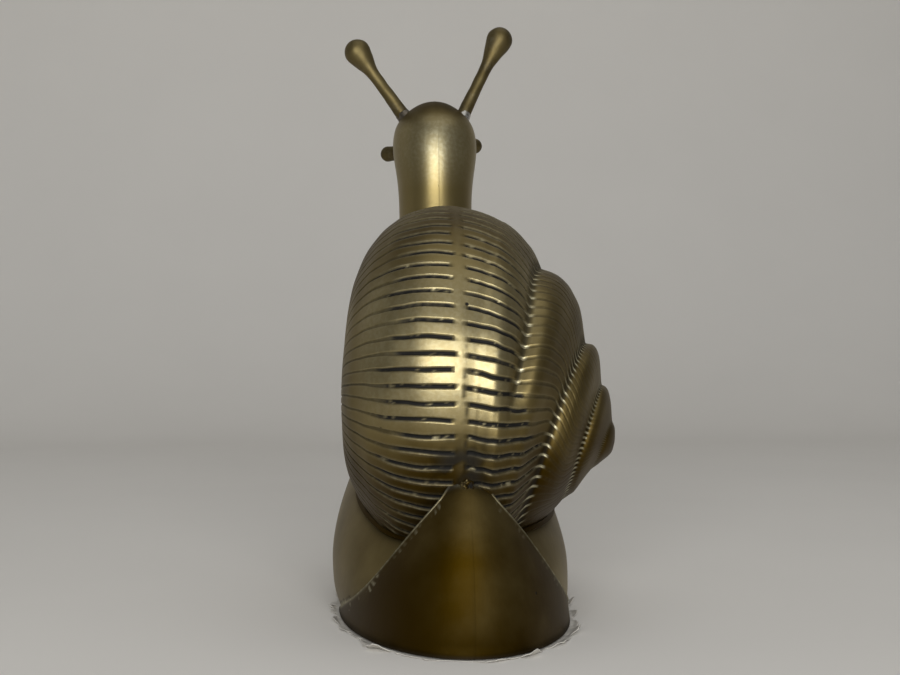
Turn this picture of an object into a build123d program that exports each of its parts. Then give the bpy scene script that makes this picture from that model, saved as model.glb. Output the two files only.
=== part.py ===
"""A hollow cast brass snail ornament that stands on a torn film under its foot.

+Z is up, +Y points to the head and +X to the spire of the shell. The origin lies on the
surface that the snail stands on, under the middle of the shell.
"""

import math
import os

from build123d import *

os.makedirs("parts", exist_ok=True)

# Driving dimensions, lengths in millimetres and angles in degrees
wall = 3.0  # every hollow casting
overrun = 5.0  # how far a cutting form reaches past what it cuts

# Film under the foot
liner_thickness = 0.8
liner_overhang = 9.0  # widest strip that shows round the foot
liner_points = 40  # corners of its torn outline

# Foot, neck and head, made as a left and a right casting
body_height = 229.3  # sole to the crown of the head
foot_half_width = 50.0
tail_reach = 92.0  # middle of the shell back to the rear of the foot
face_reach = 126.0  # middle of the shell forward to the face
body_seam_width = 1.2

# Upturned tail
tail_height = 59.0
tail_half_width = 47.0
tail_tip_sink = 2.2  # how far the tip goes into the back of the shell
tail_rim_thickness = 2.6
tail_braze_radius = 4.2

# Shell, made as a left and a right casting
shell_radius = 74.0  # at its broadest slice
shell_axis_height = 93.2  # above the sole
shell_axis_set_back = 3.0
shell_left_reach = 43.6  # middle slice to the flat left side
spire_reach = 67.4  # middle slice to the tip of the spire
shell_sweep = 10.0  # how far the spire is turned towards the tail
whorl_tilt = 14.0  # how far the whorls of the spire lean
shell_seam_width = 5.0
shell_seam_turn = 2.4  # the seam is not quite in line with the body
shell_outline_points = 40
main_groove_count = 25  # main grooves in one turn
main_groove_width = 2.0
main_groove_depth = 1.0
main_groove_gap = 2.0  # between the seam band and the end of a groove
groove_points = 6  # places that shape a groove's floor
main_groove_slope = 8.0  # how far the right ones fall towards the spire
seat_fillet = 1.4  # leg of the braze between shell and body

# Long tentacles
tentacle_root_radius = 3.3
tentacle_waist_radius = 2.9
tentacle_ball_radius = 6.5
tentacle_lean_forward = 9.0
tentacle_rise_share = 0.964  # of body_height
tentacle_forward_share = 0.894  # of the length from the rear of the foot to the face
left_tentacle_out_share = 0.290  # of foot_half_width
left_tentacle_length = 40.6
left_tentacle_lean = 35.3
right_tentacle_out_share = 0.266
right_tentacle_length = 45.4
right_tentacle_lean = 26.0

# Short feelers
feeler_radius = 3.9
feeler_length = 9.0
feeler_lean_forward = 41.0
feeler_out_share = 0.304  # of foot_half_width
feeler_forward_share = 0.963  # of the length from the rear of the foot to the face
left_feeler_rise_share = 0.898  # of body_height
right_feeler_rise_share = 0.918

# Spigots and solder collars of the tentacles and feelers
spigot_radius = 2.0
spigot_length = 9.0
spigot_clearance = 0.1
collar_leg = 2.2
collar_height = 4.4
root_sink = 7.0  # how deep a root starts inside the head before it is cut to fit

# Level slices of the body, sole to crown: height as a share of body_height, half width as
# a share of foot_half_width, then the back and front ends as shares of the length from
# the rear of the foot to the face
body_slice_shares = [
    (0.000, 0.920, 0.055, 0.876),
    (0.026, 0.968, 0.073, 0.881),
    (0.057, 0.994, 0.110, 0.885),
    (0.087, 1.000, 0.138, 0.885),
    (0.140, 0.968, 0.193, 0.883),
    (0.209, 0.872, 0.284, 0.881),
    (0.288, 0.720, 0.404, 0.883),
    (0.375, 0.570, 0.532, 0.890),
    (0.471, 0.456, 0.642, 0.904),
    (0.576, 0.392, 0.711, 0.920),
    (0.680, 0.364, 0.750, 0.936),
    (0.776, 0.360, 0.771, 0.959),
    (0.842, 0.388, 0.780, 0.984),
    (0.898, 0.416, 0.787, 1.000),
    (0.938, 0.392, 0.798, 1.000),
    (0.966, 0.316, 0.819, 0.979),
    (0.986, 0.208, 0.846, 0.952),
    (0.997, 0.104, 0.872, 0.926),
    (1.000, 0.040, 0.888, 0.908),
]

# Levels of the tail's slices, as shares of tail_height
tail_level_shares = [0.0, 0.25, 0.5, 0.75, 1.0, 1.15]

# Rim of the tail from its tip round to its side: share of a quarter turn about the foot,
# and height as a share of tail_height
tail_rim_shares = [
    (0.000, 1.000),
    (0.070, 0.975),
    (0.160, 0.880),
    (0.280, 0.735),
    (0.470, 0.510),
    (0.630, 0.325),
    (0.830, 0.135),
    (1.000, 0.020),
]

# Slices of the shell, first of the body whorl from its left side, then of the spire to its
# tip: place of the centre as a share of the whole width, then half height, half depth, drop
# of the centre and bulge of the whorl as shares of shell_radius, the turns along the spiral,
# and the lean as a share of whorl_tilt
whorl_slice_shares = [
    (0.0000, 0.150, 0.150, 0.209, 0.000, 0.00, 0.00),
    (0.0090, 0.324, 0.324, 0.142, 0.000, 0.00, 0.00),
    (0.0252, 0.500, 0.500, 0.054, 0.000, 0.00, 0.00),
    (0.0595, 0.662, 0.662, -0.007, 0.000, 0.00, 0.00),
    (0.1135, 0.788, 0.788, -0.024, 0.000, 0.00, 0.00),
    (0.1811, 0.892, 0.892, -0.020, 0.000, 0.00, 0.00),
    (0.2757, 0.970, 0.970, -0.011, 0.000, 0.00, 0.00),
    (0.3928, 1.000, 1.000, 0.000, 0.000, 0.00, 0.00),
    (0.4769, 0.982, 0.985, 0.015, 0.000, 0.25, 0.15),
    (0.5372, 0.941, 0.953, 0.054, 0.020, 0.50, 0.35),
    (0.5894, 0.868, 0.910, 0.121, 0.068, 0.75, 0.55),
]
spire_slice_shares = [
    whorl_slice_shares[-1],
    (0.6332, 0.807, 0.833, 0.165, 0.100, 1.00, 0.70),
    (0.6740, 0.743, 0.755, 0.211, 0.105, 1.25, 0.85),
    (0.7079, 0.679, 0.688, 0.256, 0.105, 1.50, 1.00),
    (0.7631, 0.580, 0.601, 0.245, 0.105, 1.75, 1.00),
    (0.8077, 0.485, 0.518, 0.252, 0.090, 2.00, 1.00),
    (0.8368, 0.429, 0.464, 0.259, 0.075, 2.25, 1.00),
    (0.8616, 0.377, 0.418, 0.266, 0.068, 2.50, 1.00),
    (0.8820, 0.330, 0.358, 0.275, 0.062, 2.75, 1.00),
    (0.8998, 0.288, 0.311, 0.286, 0.057, 3.00, 1.00),
    (0.9195, 0.235, 0.267, 0.285, 0.053, 3.25, 1.00),
    (0.9372, 0.188, 0.223, 0.289, 0.049, 3.50, 1.00),
    (0.9540, 0.147, 0.178, 0.298, 0.043, 3.75, 1.00),
    (0.9696, 0.107, 0.134, 0.310, 0.032, 4.00, 1.00),
    (0.9852, 0.067, 0.085, 0.326, 0.014, 4.25, 1.00),
    (0.9931, 0.041, 0.052, 0.337, 0.000, 4.50, 1.00),
]

# Part of a whorl's bulge that is left on the underside of the shell
under_bulge_share = 0.25

# Main grooves: the part of a turn behind the top and in front of it that has them, which is
# short on the right where the neck stands close, then the ends of
# the left and of the right ones as shares of the shell's width
groove_back_share = 0.40
left_groove_front_share = 0.40
right_groove_front_share = 0.08
left_groove_end_share = 0.060
right_groove_end_share = 0.567

# Club of a tentacle below its ball: place as a share of the length, radius as a share of the
# ball's radius
tentacle_club_shares = [(0.74, 0.56), (0.88, 0.82)]

# Torn outline of the film: overhang of each corner as a share of liner_overhang, repeated
liner_tear_shares = [0.75, 0.95, 0.55, 0.85, 0.30, 0.90, 1.00, 0.45, 0.80, 0.65, 0.15]

body_length = tail_reach + face_reach
tail_tip_depth = math.sqrt(shell_radius**2 - (shell_axis_height - tail_height) ** 2)
tail_tip_reach = shell_axis_set_back + tail_tip_depth - tail_tip_sink
tail_lean = tail_reach - tail_rim_thickness - tail_tip_reach  # tip forward of its base
sole_plane = Plane.XY.offset(liner_thickness)


def body_form(inset):
    """The whole foot, neck and head, drawn in by inset on every side but the sole."""
    with BuildPart() as form:
        for rise_share, width_share, back_share, front_share in body_slice_shares:
            half_width = width_share * foot_half_width - inset
            half_length = (front_share - back_share) * body_length / 2 - inset
            middle = (front_share + back_share) * body_length / 2 - tail_reach
            if half_width > inset:
                with BuildSketch(sole_plane.offset(rise_share * (body_height - inset))):
                    with Locations((0, middle)):
                        Ellipse(half_width, half_length)
        loft()
    return form.part


def tail_form(inset):
    """The upturned tail: a stack of ellipses that leans forward, cut along its rim."""
    rim_points = []
    for turn_share, rise_share in tail_rim_shares:
        reach = tail_reach - tail_lean * rise_share**2 - tail_rim_thickness * rise_share
        back = reach * math.cos(math.radians(90 * turn_share))
        rim_points.append((-back, liner_thickness + rise_share * tail_height - inset))
    with BuildPart() as form:
        for rise_share in tail_level_shares:
            lean = tail_lean * rise_share**2 + inset
            with BuildSketch(sole_plane.offset(rise_share * tail_height)):
                Ellipse(tail_half_width - lean, tail_reach - lean)
        loft()
        with BuildSketch(Plane.YZ):
            with BuildLine():
                rim = Spline(*rim_points)
                ahead = tail_reach + overrun
                above = 2 * tail_height
                below = -overrun - inset
                tip = rim @ 0
                Polyline(
                    rim @ 1,
                    (0, below),
                    (ahead, below),
                    (ahead, above),
                    (-ahead, above),
                    (-ahead, tip.Y),
                    tip,
                )
            make_face()
        extrude(amount=tail_half_width + overrun, both=True, mode=Mode.SUBTRACT)
    return form.part


def slice_at(place):
    """Shares of the shell's slice at a place across it, drawn between the slices beside it."""
    slices = whorl_slice_shares + spire_slice_shares[1:]
    place_share = (place + shell_left_reach) / (shell_left_reach + spire_reach)
    for low, high in zip(slices, slices[1:]):
        if place_share <= high[0]:
            part = (place_share - low[0]) / (high[0] - low[0])
            return [start + part * (end - start) for start, end in zip(low, high)]
    return slices[-1]


def shell_ways():
    """The way of the shell's axis towards the spire, and its way forward."""
    sweep = math.radians(shell_sweep)
    axis = Vector(math.cos(sweep), -math.sin(sweep), 0)
    forward = Vector(math.sin(sweep), math.cos(sweep), 0)
    return axis, forward


def shell_point(place, turn, lift):
    """A point over the shell by a lift, on its slice at a place, at a turn from the top."""
    axis, forward = shell_ways()
    _, rise_share, depth_share, drop_share, bulge_share, whorl, tilt_share = slice_at(place)
    angle = 2 * math.pi * turn
    fade = min(1, 1 + math.cos(angle))
    bulge_left = under_bulge_share + (1 - under_bulge_share) * fade**2 * (3 - 2 * fade)
    swell = bulge_left * bulge_share * abs(math.sin(math.pi * (whorl - turn)))
    ahead = ((depth_share + swell) * shell_radius + lift) * math.sin(angle)
    up = ((rise_share + swell) * shell_radius + lift) * math.cos(angle)
    lean = math.tan(math.radians(tilt_share * whorl_tilt))
    across = place * (1 + lift / shell_left_reach) + up * lean
    height = liner_thickness + shell_axis_height - drop_share * shell_radius + up
    return Vector(0, -shell_axis_set_back, height) + axis * across + forward * ahead


def shell_form(inset):
    """The whole coiled shell, drawn in by inset on every side."""
    axis, forward = shell_ways()
    with BuildPart() as form:
        for slice_shares in (whorl_slice_shares, spire_slice_shares):
            for place_share, rise_share, *_, tilt_share in slice_shares:
                place = place_share * (shell_left_reach + spire_reach) - shell_left_reach
                outline = [
                    shell_point(place, step / shell_outline_points, -inset)
                    for step in range(shell_outline_points)
                ]
                tilt = math.radians(tilt_share * whorl_tilt)
                leaning = axis * math.cos(tilt) - Vector(0, 0, math.sin(tilt))
                level = Plane(origin=outline[0], x_dir=forward, z_dir=leaning)
                spots = [level.to_local_coords(point) for point in outline]
                if rise_share * shell_radius > 2 * inset:
                    with BuildSketch(level):
                        with BuildLine():
                            Spline(*[(spot.X, spot.Y) for spot in spots], periodic=True)
                        make_face()
            loft(ruled=slice_shares is spire_slice_shares)
    return form.part


def groove_form(turn, start, end):
    """A thin blade that cuts one groove along the shell, from its start to its end across it."""
    floor_points = []
    crest_points = []
    for step in range(groove_points):
        place = start + (end - start) * step / (groove_points - 1)
        fall = math.tan(math.radians(main_groove_slope)) * max(place, 0) / shell_radius
        groove_turn = turn - fall / (2 * math.pi)
        floor_points.append(shell_point(place, groove_turn, -main_groove_depth))
        crest_points.append(shell_point(place, groove_turn, overrun))
    along = floor_points[-1] - floor_points[0]
    upward = crest_points[groove_points // 2] - floor_points[groove_points // 2]
    blade = Plane(origin=floor_points[0], x_dir=along, z_dir=along.cross(upward))
    floor_places = [blade.to_local_coords(point) for point in floor_points]
    crest_places = [blade.to_local_coords(point) for point in crest_points]
    with BuildPart() as form:
        with BuildSketch(blade):
            with BuildLine():
                Spline(*[(place.X, place.Y) for place in floor_places])
                Polyline(
                    *[(place.X, place.Y) for place in (floor_places[-1], crest_places[-1])],
                    *[(place.X, place.Y) for place in reversed(crest_places[:-1])],
                    (floor_places[0].X, floor_places[0].Y),
                )
            make_face()
        extrude(amount=main_groove_width / 2, both=True)
    return form.part


def groove_turns(front_share):
    """The turns of the main grooves, from behind the top to a share of a turn in front of it."""
    back = math.floor(groove_back_share * main_groove_count)
    front = math.floor(front_share * main_groove_count)
    return [(step + 1 / 2) / main_groove_count for step in range(-back, front)]


def root_frame(root, direction):
    """The plane through a root's axis, with its local Y along that axis."""
    across = direction.cross(Vector(0, 0, 1)).normalized()
    return Plane(origin=root, x_dir=across, z_dir=across.cross(direction))


def spigot_form(root, direction, radius):
    """A pin through the wall of the head, centred on the root."""
    with BuildPart() as form:
        with BuildSketch(Plane(origin=root, z_dir=direction)):
            Circle(radius)
        extrude(amount=spigot_length, both=True)
    return form.part


def tentacle_form(root, direction, length):
    """A long tentacle: a slim rod that swells to a ball."""
    with BuildPart() as form:
        with BuildSketch(root_frame(root, direction)):
            with BuildLine():
                Polyline(
                    (0, length + tentacle_ball_radius),
                    (0, -root_sink),
                    (tentacle_root_radius, -root_sink),
                    (tentacle_root_radius, collar_height),
                )
                club = [
                    (radius_share * tentacle_ball_radius, along_share * length)
                    for along_share, radius_share in tentacle_club_shares
                ]
                Spline(
                    (tentacle_root_radius, collar_height),
                    (tentacle_waist_radius, length / 2),
                    *club,
                    (tentacle_ball_radius, length),
                    tangents=[(0, 1), (0, 1)],
                )
                CenterArc((0, length), tentacle_ball_radius, 0, 90)
            make_face()
        revolve(axis=Axis(root, direction))
    return form.part


def feeler_form(root, direction):
    """A short feeler: a stub with a round end."""
    with BuildPart() as form:
        with BuildSketch(root_frame(root, direction)):
            with BuildLine():
                Polyline(
                    (0, feeler_length + feeler_radius),
                    (0, -root_sink),
                    (feeler_radius, -root_sink),
                    (feeler_radius, feeler_length),
                )
                CenterArc((0, feeler_length), feeler_radius, 0, 90)
            make_face()
        revolve(axis=Axis(root, direction))
    return form.part


def collar_form(root, direction, inner_radius):
    """A cone of solder round a root."""
    with BuildPart() as form:
        with BuildSketch(root_frame(root, direction)):
            with BuildLine():
                Polyline(
                    (inner_radius, -root_sink),
                    (inner_radius + collar_leg, -root_sink),
                    (inner_radius + collar_leg, collar_height / 4),
                    (inner_radius, collar_height),
                    close=True,
                )
            make_face()
        revolve(axis=Axis(root, direction))
    return form.part


def tentacle_direction(side, lean):
    """The way a tentacle points, for its side and its lean outwards."""
    out = side * math.tan(math.radians(lean))
    ahead = math.tan(math.radians(tentacle_lean_forward))
    return Vector(out, ahead, 1).normalized()


def feeler_direction(side):
    """The way a feeler points, level and partly ahead."""
    ahead = math.radians(feeler_lean_forward)
    return Vector(side * math.cos(ahead), math.sin(ahead), 0)


def root_place(out_share, forward_share, rise_share):
    """Where a root sits on the head, from its shares of the body's sizes."""
    out = out_share * foot_half_width
    forward = forward_share * body_length - tail_reach
    return Vector(out, forward, liner_thickness + rise_share * body_height)


roots = {
    "tentacle_left": (
        root_place(-left_tentacle_out_share, tentacle_forward_share, tentacle_rise_share),
        tentacle_direction(-1, left_tentacle_lean),
    ),
    "tentacle_right": (
        root_place(right_tentacle_out_share, tentacle_forward_share, tentacle_rise_share),
        tentacle_direction(1, right_tentacle_lean),
    ),
    "feeler_left": (
        root_place(-feeler_out_share, feeler_forward_share, left_feeler_rise_share),
        feeler_direction(-1),
    ),
    "feeler_right": (
        root_place(feeler_out_share, feeler_forward_share, right_feeler_rise_share),
        feeler_direction(1),
    ),
}

body_solid = body_form(0)
tail_solid = tail_form(0)
shell_solid = shell_form(0)
shell_seam_plane = Plane(
    origin=(0, -shell_axis_set_back, 0),
    z_dir=Vector(1, 0, 0).rotate(Axis.Z, -shell_seam_turn),
)

# Foot, neck and head: a hollow form in two castings with a line of braze between them
with BuildPart() as body_casting:
    add(body_solid)
    add(tail_solid)
    add(body_form(wall), mode=Mode.SUBTRACT)
    add(tail_form(wall), mode=Mode.SUBTRACT)
    for root, direction in roots.values():
        add(spigot_form(root, direction, spigot_radius + spigot_clearance), mode=Mode.SUBTRACT)

with BuildPart() as body_left:
    add(body_casting.part)
    split(bisect_by=Plane.YZ.offset(-body_seam_width / 2), keep=Keep.BOTTOM)
body_left.part.label = "body_left"
export_step(body_left.part, "parts/body_left.step")

with BuildPart() as body_right:
    add(body_casting.part)
    split(bisect_by=Plane.YZ.offset(body_seam_width / 2), keep=Keep.TOP)
body_right.part.label = "body_right"
export_step(body_right.part, "parts/body_right.step")

with BuildPart() as body_seam:
    add(body_casting.part)
    split(bisect_by=Plane.YZ.offset(-body_seam_width / 2), keep=Keep.TOP)
    split(bisect_by=Plane.YZ.offset(body_seam_width / 2), keep=Keep.BOTTOM)
body_seam.part.label = "body_seam"
export_step(body_seam.part, "parts/body_seam.step")

# Shell: a hollow form, cut where it sits on the body, in two castings with a filed band
# between them
with BuildPart() as shell_casting:
    add(shell_solid)
    add(shell_form(wall), mode=Mode.SUBTRACT)
    add(body_solid, mode=Mode.SUBTRACT)
    add(tail_solid, mode=Mode.SUBTRACT)

with BuildPart() as shell_left:
    add(shell_casting.part)
    split(bisect_by=shell_seam_plane.offset(-shell_seam_width / 2), keep=Keep.BOTTOM)
    groove_start = -shell_seam_width / 2 - main_groove_gap
    groove_end = left_groove_end_share * (shell_left_reach + spire_reach) - shell_left_reach
    turns = groove_turns(left_groove_front_share)
    blades = [groove_form(turn, groove_start, groove_end) for turn in turns]
    add(blades, mode=Mode.SUBTRACT)
shell_left.part.label = "shell_left"
export_step(shell_left.part, "parts/shell_left.step")

with BuildPart() as shell_right:
    add(shell_casting.part)
    split(bisect_by=shell_seam_plane.offset(shell_seam_width / 2), keep=Keep.TOP)
    groove_start = shell_seam_width / 2 + main_groove_gap
    groove_end = right_groove_end_share * (shell_left_reach + spire_reach) - shell_left_reach
    turns = groove_turns(right_groove_front_share)
    blades = [groove_form(turn, groove_start, groove_end) for turn in turns]
    add(blades, mode=Mode.SUBTRACT)
shell_right.part.label = "shell_right"
export_step(shell_right.part, "parts/shell_right.step")

with BuildPart() as shell_seam:
    add(shell_casting.part)
    split(bisect_by=shell_seam_plane.offset(-shell_seam_width / 2), keep=Keep.TOP)
    split(bisect_by=shell_seam_plane.offset(shell_seam_width / 2), keep=Keep.BOTTOM)
shell_seam.part.label = "shell_seam"
export_step(shell_seam.part, "parts/shell_seam.step")

# Braze in the corner between shell and body, and the blob at the tip of the tail
with BuildPart() as shell_seat:
    add(shell_form(-seat_fillet))
    add(body_form(-seat_fillet), mode=Mode.INTERSECT)
    add(shell_solid, mode=Mode.SUBTRACT)
    add(body_solid, mode=Mode.SUBTRACT)
    add(tail_solid, mode=Mode.SUBTRACT)
shell_seat.part.label = "shell_seat"
export_step(shell_seat.part, "parts/shell_seat.step")

with BuildPart() as tail_braze:
    with Locations((0, -tail_tip_reach, tail_height)):
        Sphere(tail_braze_radius)
    add(shell_solid, mode=Mode.SUBTRACT)
    add(body_solid, mode=Mode.SUBTRACT)
    add(tail_solid, mode=Mode.SUBTRACT)
tail_braze.part.label = "tail_braze"
export_step(tail_braze.part, "parts/tail_braze.step")

# Tentacles and feelers, each seated on the head with a spigot through its wall
root_forms = {
    "tentacle_left": tentacle_form(*roots["tentacle_left"], left_tentacle_length),
    "tentacle_right": tentacle_form(*roots["tentacle_right"], right_tentacle_length),
    "feeler_left": feeler_form(*roots["feeler_left"]),
    "feeler_right": feeler_form(*roots["feeler_right"]),
}
for name, form in root_forms.items():
    with BuildPart() as seated:
        add(form)
        add(body_solid, mode=Mode.SUBTRACT)
        add(spigot_form(*roots[name], spigot_radius))
    seated.part.label = name
    export_step(seated.part, f"parts/{name}.step")

# Solder collars round the roots
collar_inner_radii = {
    "tentacle_left": tentacle_root_radius,
    "tentacle_right": tentacle_root_radius,
    "feeler_left": feeler_radius,
    "feeler_right": feeler_radius,
}
for name, inner_radius in collar_inner_radii.items():
    collar_name = name.replace("_", "_collar_")
    with BuildPart() as collar:
        add(collar_form(*roots[name], inner_radius))
        add(body_solid, mode=Mode.SUBTRACT)
    collar.part.label = collar_name
    export_step(collar.part, f"parts/{collar_name}.step")

# Torn film under the foot
with BuildPart() as base_liner:
    with BuildSketch():
        with BuildLine():
            corners = []
            front_reach = body_slice_shares[0][3] * body_length - tail_reach
            for step in range(liner_points):
                angle = 2 * math.pi * step / liner_points
                tear_share = liner_tear_shares[step % len(liner_tear_shares)]
                strip = liner_overhang * tear_share
                reach = front_reach if math.cos(angle) > 0 else tail_reach
                corners.append(
                    (
                        (tail_half_width + strip) * math.sin(angle),
                        (reach + strip) * math.cos(angle),
                    )
                )
            Polyline(*corners, close=True)
        make_face()
    extrude(amount=liner_thickness)
base_liner.part.label = "base_liner"
export_step(base_liner.part, "parts/base_liner.step")
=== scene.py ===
"""Looks of a hollow cast brass snail ornament, dressed over its solid model.

+Z is up, +Y points to the head and +X to the spire of the shell. Sizes are in metres.
"""

import math

import bmesh
import bpy
import numpy as np
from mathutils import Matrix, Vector, noise
from mathutils.bvhtree import BVHTree


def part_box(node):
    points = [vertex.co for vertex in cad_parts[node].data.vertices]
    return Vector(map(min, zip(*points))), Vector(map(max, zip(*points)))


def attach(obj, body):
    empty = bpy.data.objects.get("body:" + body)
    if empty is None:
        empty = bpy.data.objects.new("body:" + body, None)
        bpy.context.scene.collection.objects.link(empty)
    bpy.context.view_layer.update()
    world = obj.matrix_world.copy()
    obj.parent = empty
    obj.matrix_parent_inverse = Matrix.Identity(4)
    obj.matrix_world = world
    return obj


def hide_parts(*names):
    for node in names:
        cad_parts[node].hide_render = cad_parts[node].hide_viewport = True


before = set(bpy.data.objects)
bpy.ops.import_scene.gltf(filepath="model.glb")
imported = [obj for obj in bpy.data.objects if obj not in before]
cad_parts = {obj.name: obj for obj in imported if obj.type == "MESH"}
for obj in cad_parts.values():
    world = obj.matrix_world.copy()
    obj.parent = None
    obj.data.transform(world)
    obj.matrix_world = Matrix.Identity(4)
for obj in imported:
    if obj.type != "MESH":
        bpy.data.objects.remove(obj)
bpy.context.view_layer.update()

bl_info = {
    "name": "Brass snail ornament",
    "version": (1, 0, 0),
    "blender": (4, 5, 0),
    "location": "3D View > Sidebar > Snail",
    "description": "Builds the castings, solder, film and stage of a brass snail ornament",
    "category": "Object",
}

MM = 0.001
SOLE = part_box("base_liner")[1].z

# Level slices of the body, sole to crown: height, half width, back end and front end as shares
BODY_SLICES = (
    (0.000, 0.920, 0.055, 0.876),
    (0.026, 0.968, 0.073, 0.881),
    (0.057, 0.994, 0.110, 0.885),
    (0.087, 1.000, 0.138, 0.885),
    (0.140, 0.968, 0.193, 0.883),
    (0.209, 0.872, 0.284, 0.881),
    (0.288, 0.720, 0.404, 0.883),
    (0.375, 0.570, 0.532, 0.890),
    (0.471, 0.456, 0.642, 0.904),
    (0.576, 0.392, 0.711, 0.920),
    (0.680, 0.364, 0.750, 0.936),
    (0.776, 0.360, 0.771, 0.959),
    (0.842, 0.388, 0.780, 0.984),
    (0.898, 0.416, 0.787, 1.000),
    (0.938, 0.392, 0.798, 1.000),
    (0.966, 0.316, 0.819, 0.979),
    (0.986, 0.208, 0.846, 0.952),
    (0.997, 0.104, 0.872, 0.926),
    (1.000, 0.040, 0.888, 0.908),
)

# Rim of the tail from its tip round to its side: share of a quarter turn, share of its height
TAIL_RIM = (
    (0.000, 1.000),
    (0.070, 0.985),
    (0.160, 0.925),
    (0.280, 0.815),
    (0.470, 0.555),
    (0.630, 0.315),
    (0.830, 0.130),
    (1.000, 0.020),
)

# Slices of the shell from its left side to the tip of the spire: place of the centre across,
# half height, half depth, drop of the centre and bulge of the whorl as shares, then turns along
# the spiral and the share of the whorls' lean
SHELL_SLICES = (
    (0.0000, 0.000, 0.000, 0.209, 0.000, 0.00, 0.00),
    (0.0000, 0.075, 0.075, 0.209, 0.000, 0.00, 0.00),
    (0.0010, 0.150, 0.150, 0.205, 0.000, 0.00, 0.00),
    (0.0090, 0.324, 0.324, 0.142, 0.000, 0.00, 0.00),
    (0.0252, 0.500, 0.500, 0.054, 0.000, 0.00, 0.00),
    (0.0595, 0.662, 0.662, -0.007, 0.000, 0.00, 0.00),
    (0.1135, 0.788, 0.788, -0.024, 0.000, 0.00, 0.00),
    (0.1811, 0.892, 0.892, -0.020, 0.000, 0.00, 0.00),
    (0.2757, 0.970, 0.970, -0.011, 0.000, 0.00, 0.00),
    (0.3928, 1.000, 1.000, 0.000, 0.000, 0.00, 0.00),
    (0.4769, 0.982, 0.985, 0.015, 0.000, 0.25, 0.15),
    (0.5372, 0.941, 0.953, 0.054, 0.020, 0.50, 0.35),
    (0.5894, 0.868, 0.910, 0.121, 0.068, 0.75, 0.55),
    (0.6332, 0.807, 0.833, 0.165, 0.100, 1.00, 0.70),
    (0.6740, 0.743, 0.755, 0.211, 0.105, 1.25, 0.85),
    (0.7079, 0.679, 0.688, 0.256, 0.105, 1.50, 1.00),
    (0.7631, 0.580, 0.601, 0.245, 0.105, 1.75, 1.00),
    (0.8077, 0.485, 0.518, 0.252, 0.090, 2.00, 1.00),
    (0.8368, 0.429, 0.464, 0.259, 0.075, 2.25, 1.00),
    (0.8616, 0.377, 0.418, 0.266, 0.068, 2.50, 1.00),
    (0.8820, 0.330, 0.358, 0.275, 0.062, 2.75, 1.00),
    (0.8998, 0.288, 0.311, 0.286, 0.057, 3.00, 1.00),
    (0.9195, 0.235, 0.267, 0.285, 0.053, 3.25, 1.00),
    (0.9372, 0.188, 0.223, 0.289, 0.049, 3.50, 1.00),
    (0.9540, 0.147, 0.178, 0.298, 0.043, 3.75, 1.00),
    (0.9696, 0.107, 0.134, 0.310, 0.032, 4.00, 1.00),
    (0.9852, 0.067, 0.085, 0.326, 0.014, 4.25, 1.00),
    (0.9915, 0.041, 0.052, 0.335, 0.000, 4.50, 1.00),
    (0.9930, 0.020, 0.026, 0.337, 0.000, 4.50, 1.00),
    (0.9931, 0.000, 0.000, 0.337, 0.000, 4.50, 1.00),
)


def linear(code):
    """A colour written as sRGB hex, as linear values with full opacity."""
    parts = [int(code[at : at + 2], 16) / 255 for at in (1, 3, 5)]
    return [p / 12.92 if p < 0.04045 else ((p + 0.055) / 1.055) ** 2.4 for p in parts] + [1.0]


def length(name, default, about):
    """A length that a user may change, written in millimetres and kept in metres."""
    return bpy.props.FloatProperty(
        name=name, description=about, default=default * MM, min=0, unit="LENGTH", precision=4
    )


def turn(name, default, about):
    """An angle that a user may change, written in degrees."""
    return bpy.props.FloatProperty(
        name=name, description=about, default=math.radians(default), subtype="ANGLE"
    )


def tint(name, default, about):
    """A colour that a user may change."""
    return bpy.props.FloatVectorProperty(
        name=name, description=about, default=linear(default), size=4, subtype="COLOR", min=0, max=1
    )


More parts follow.
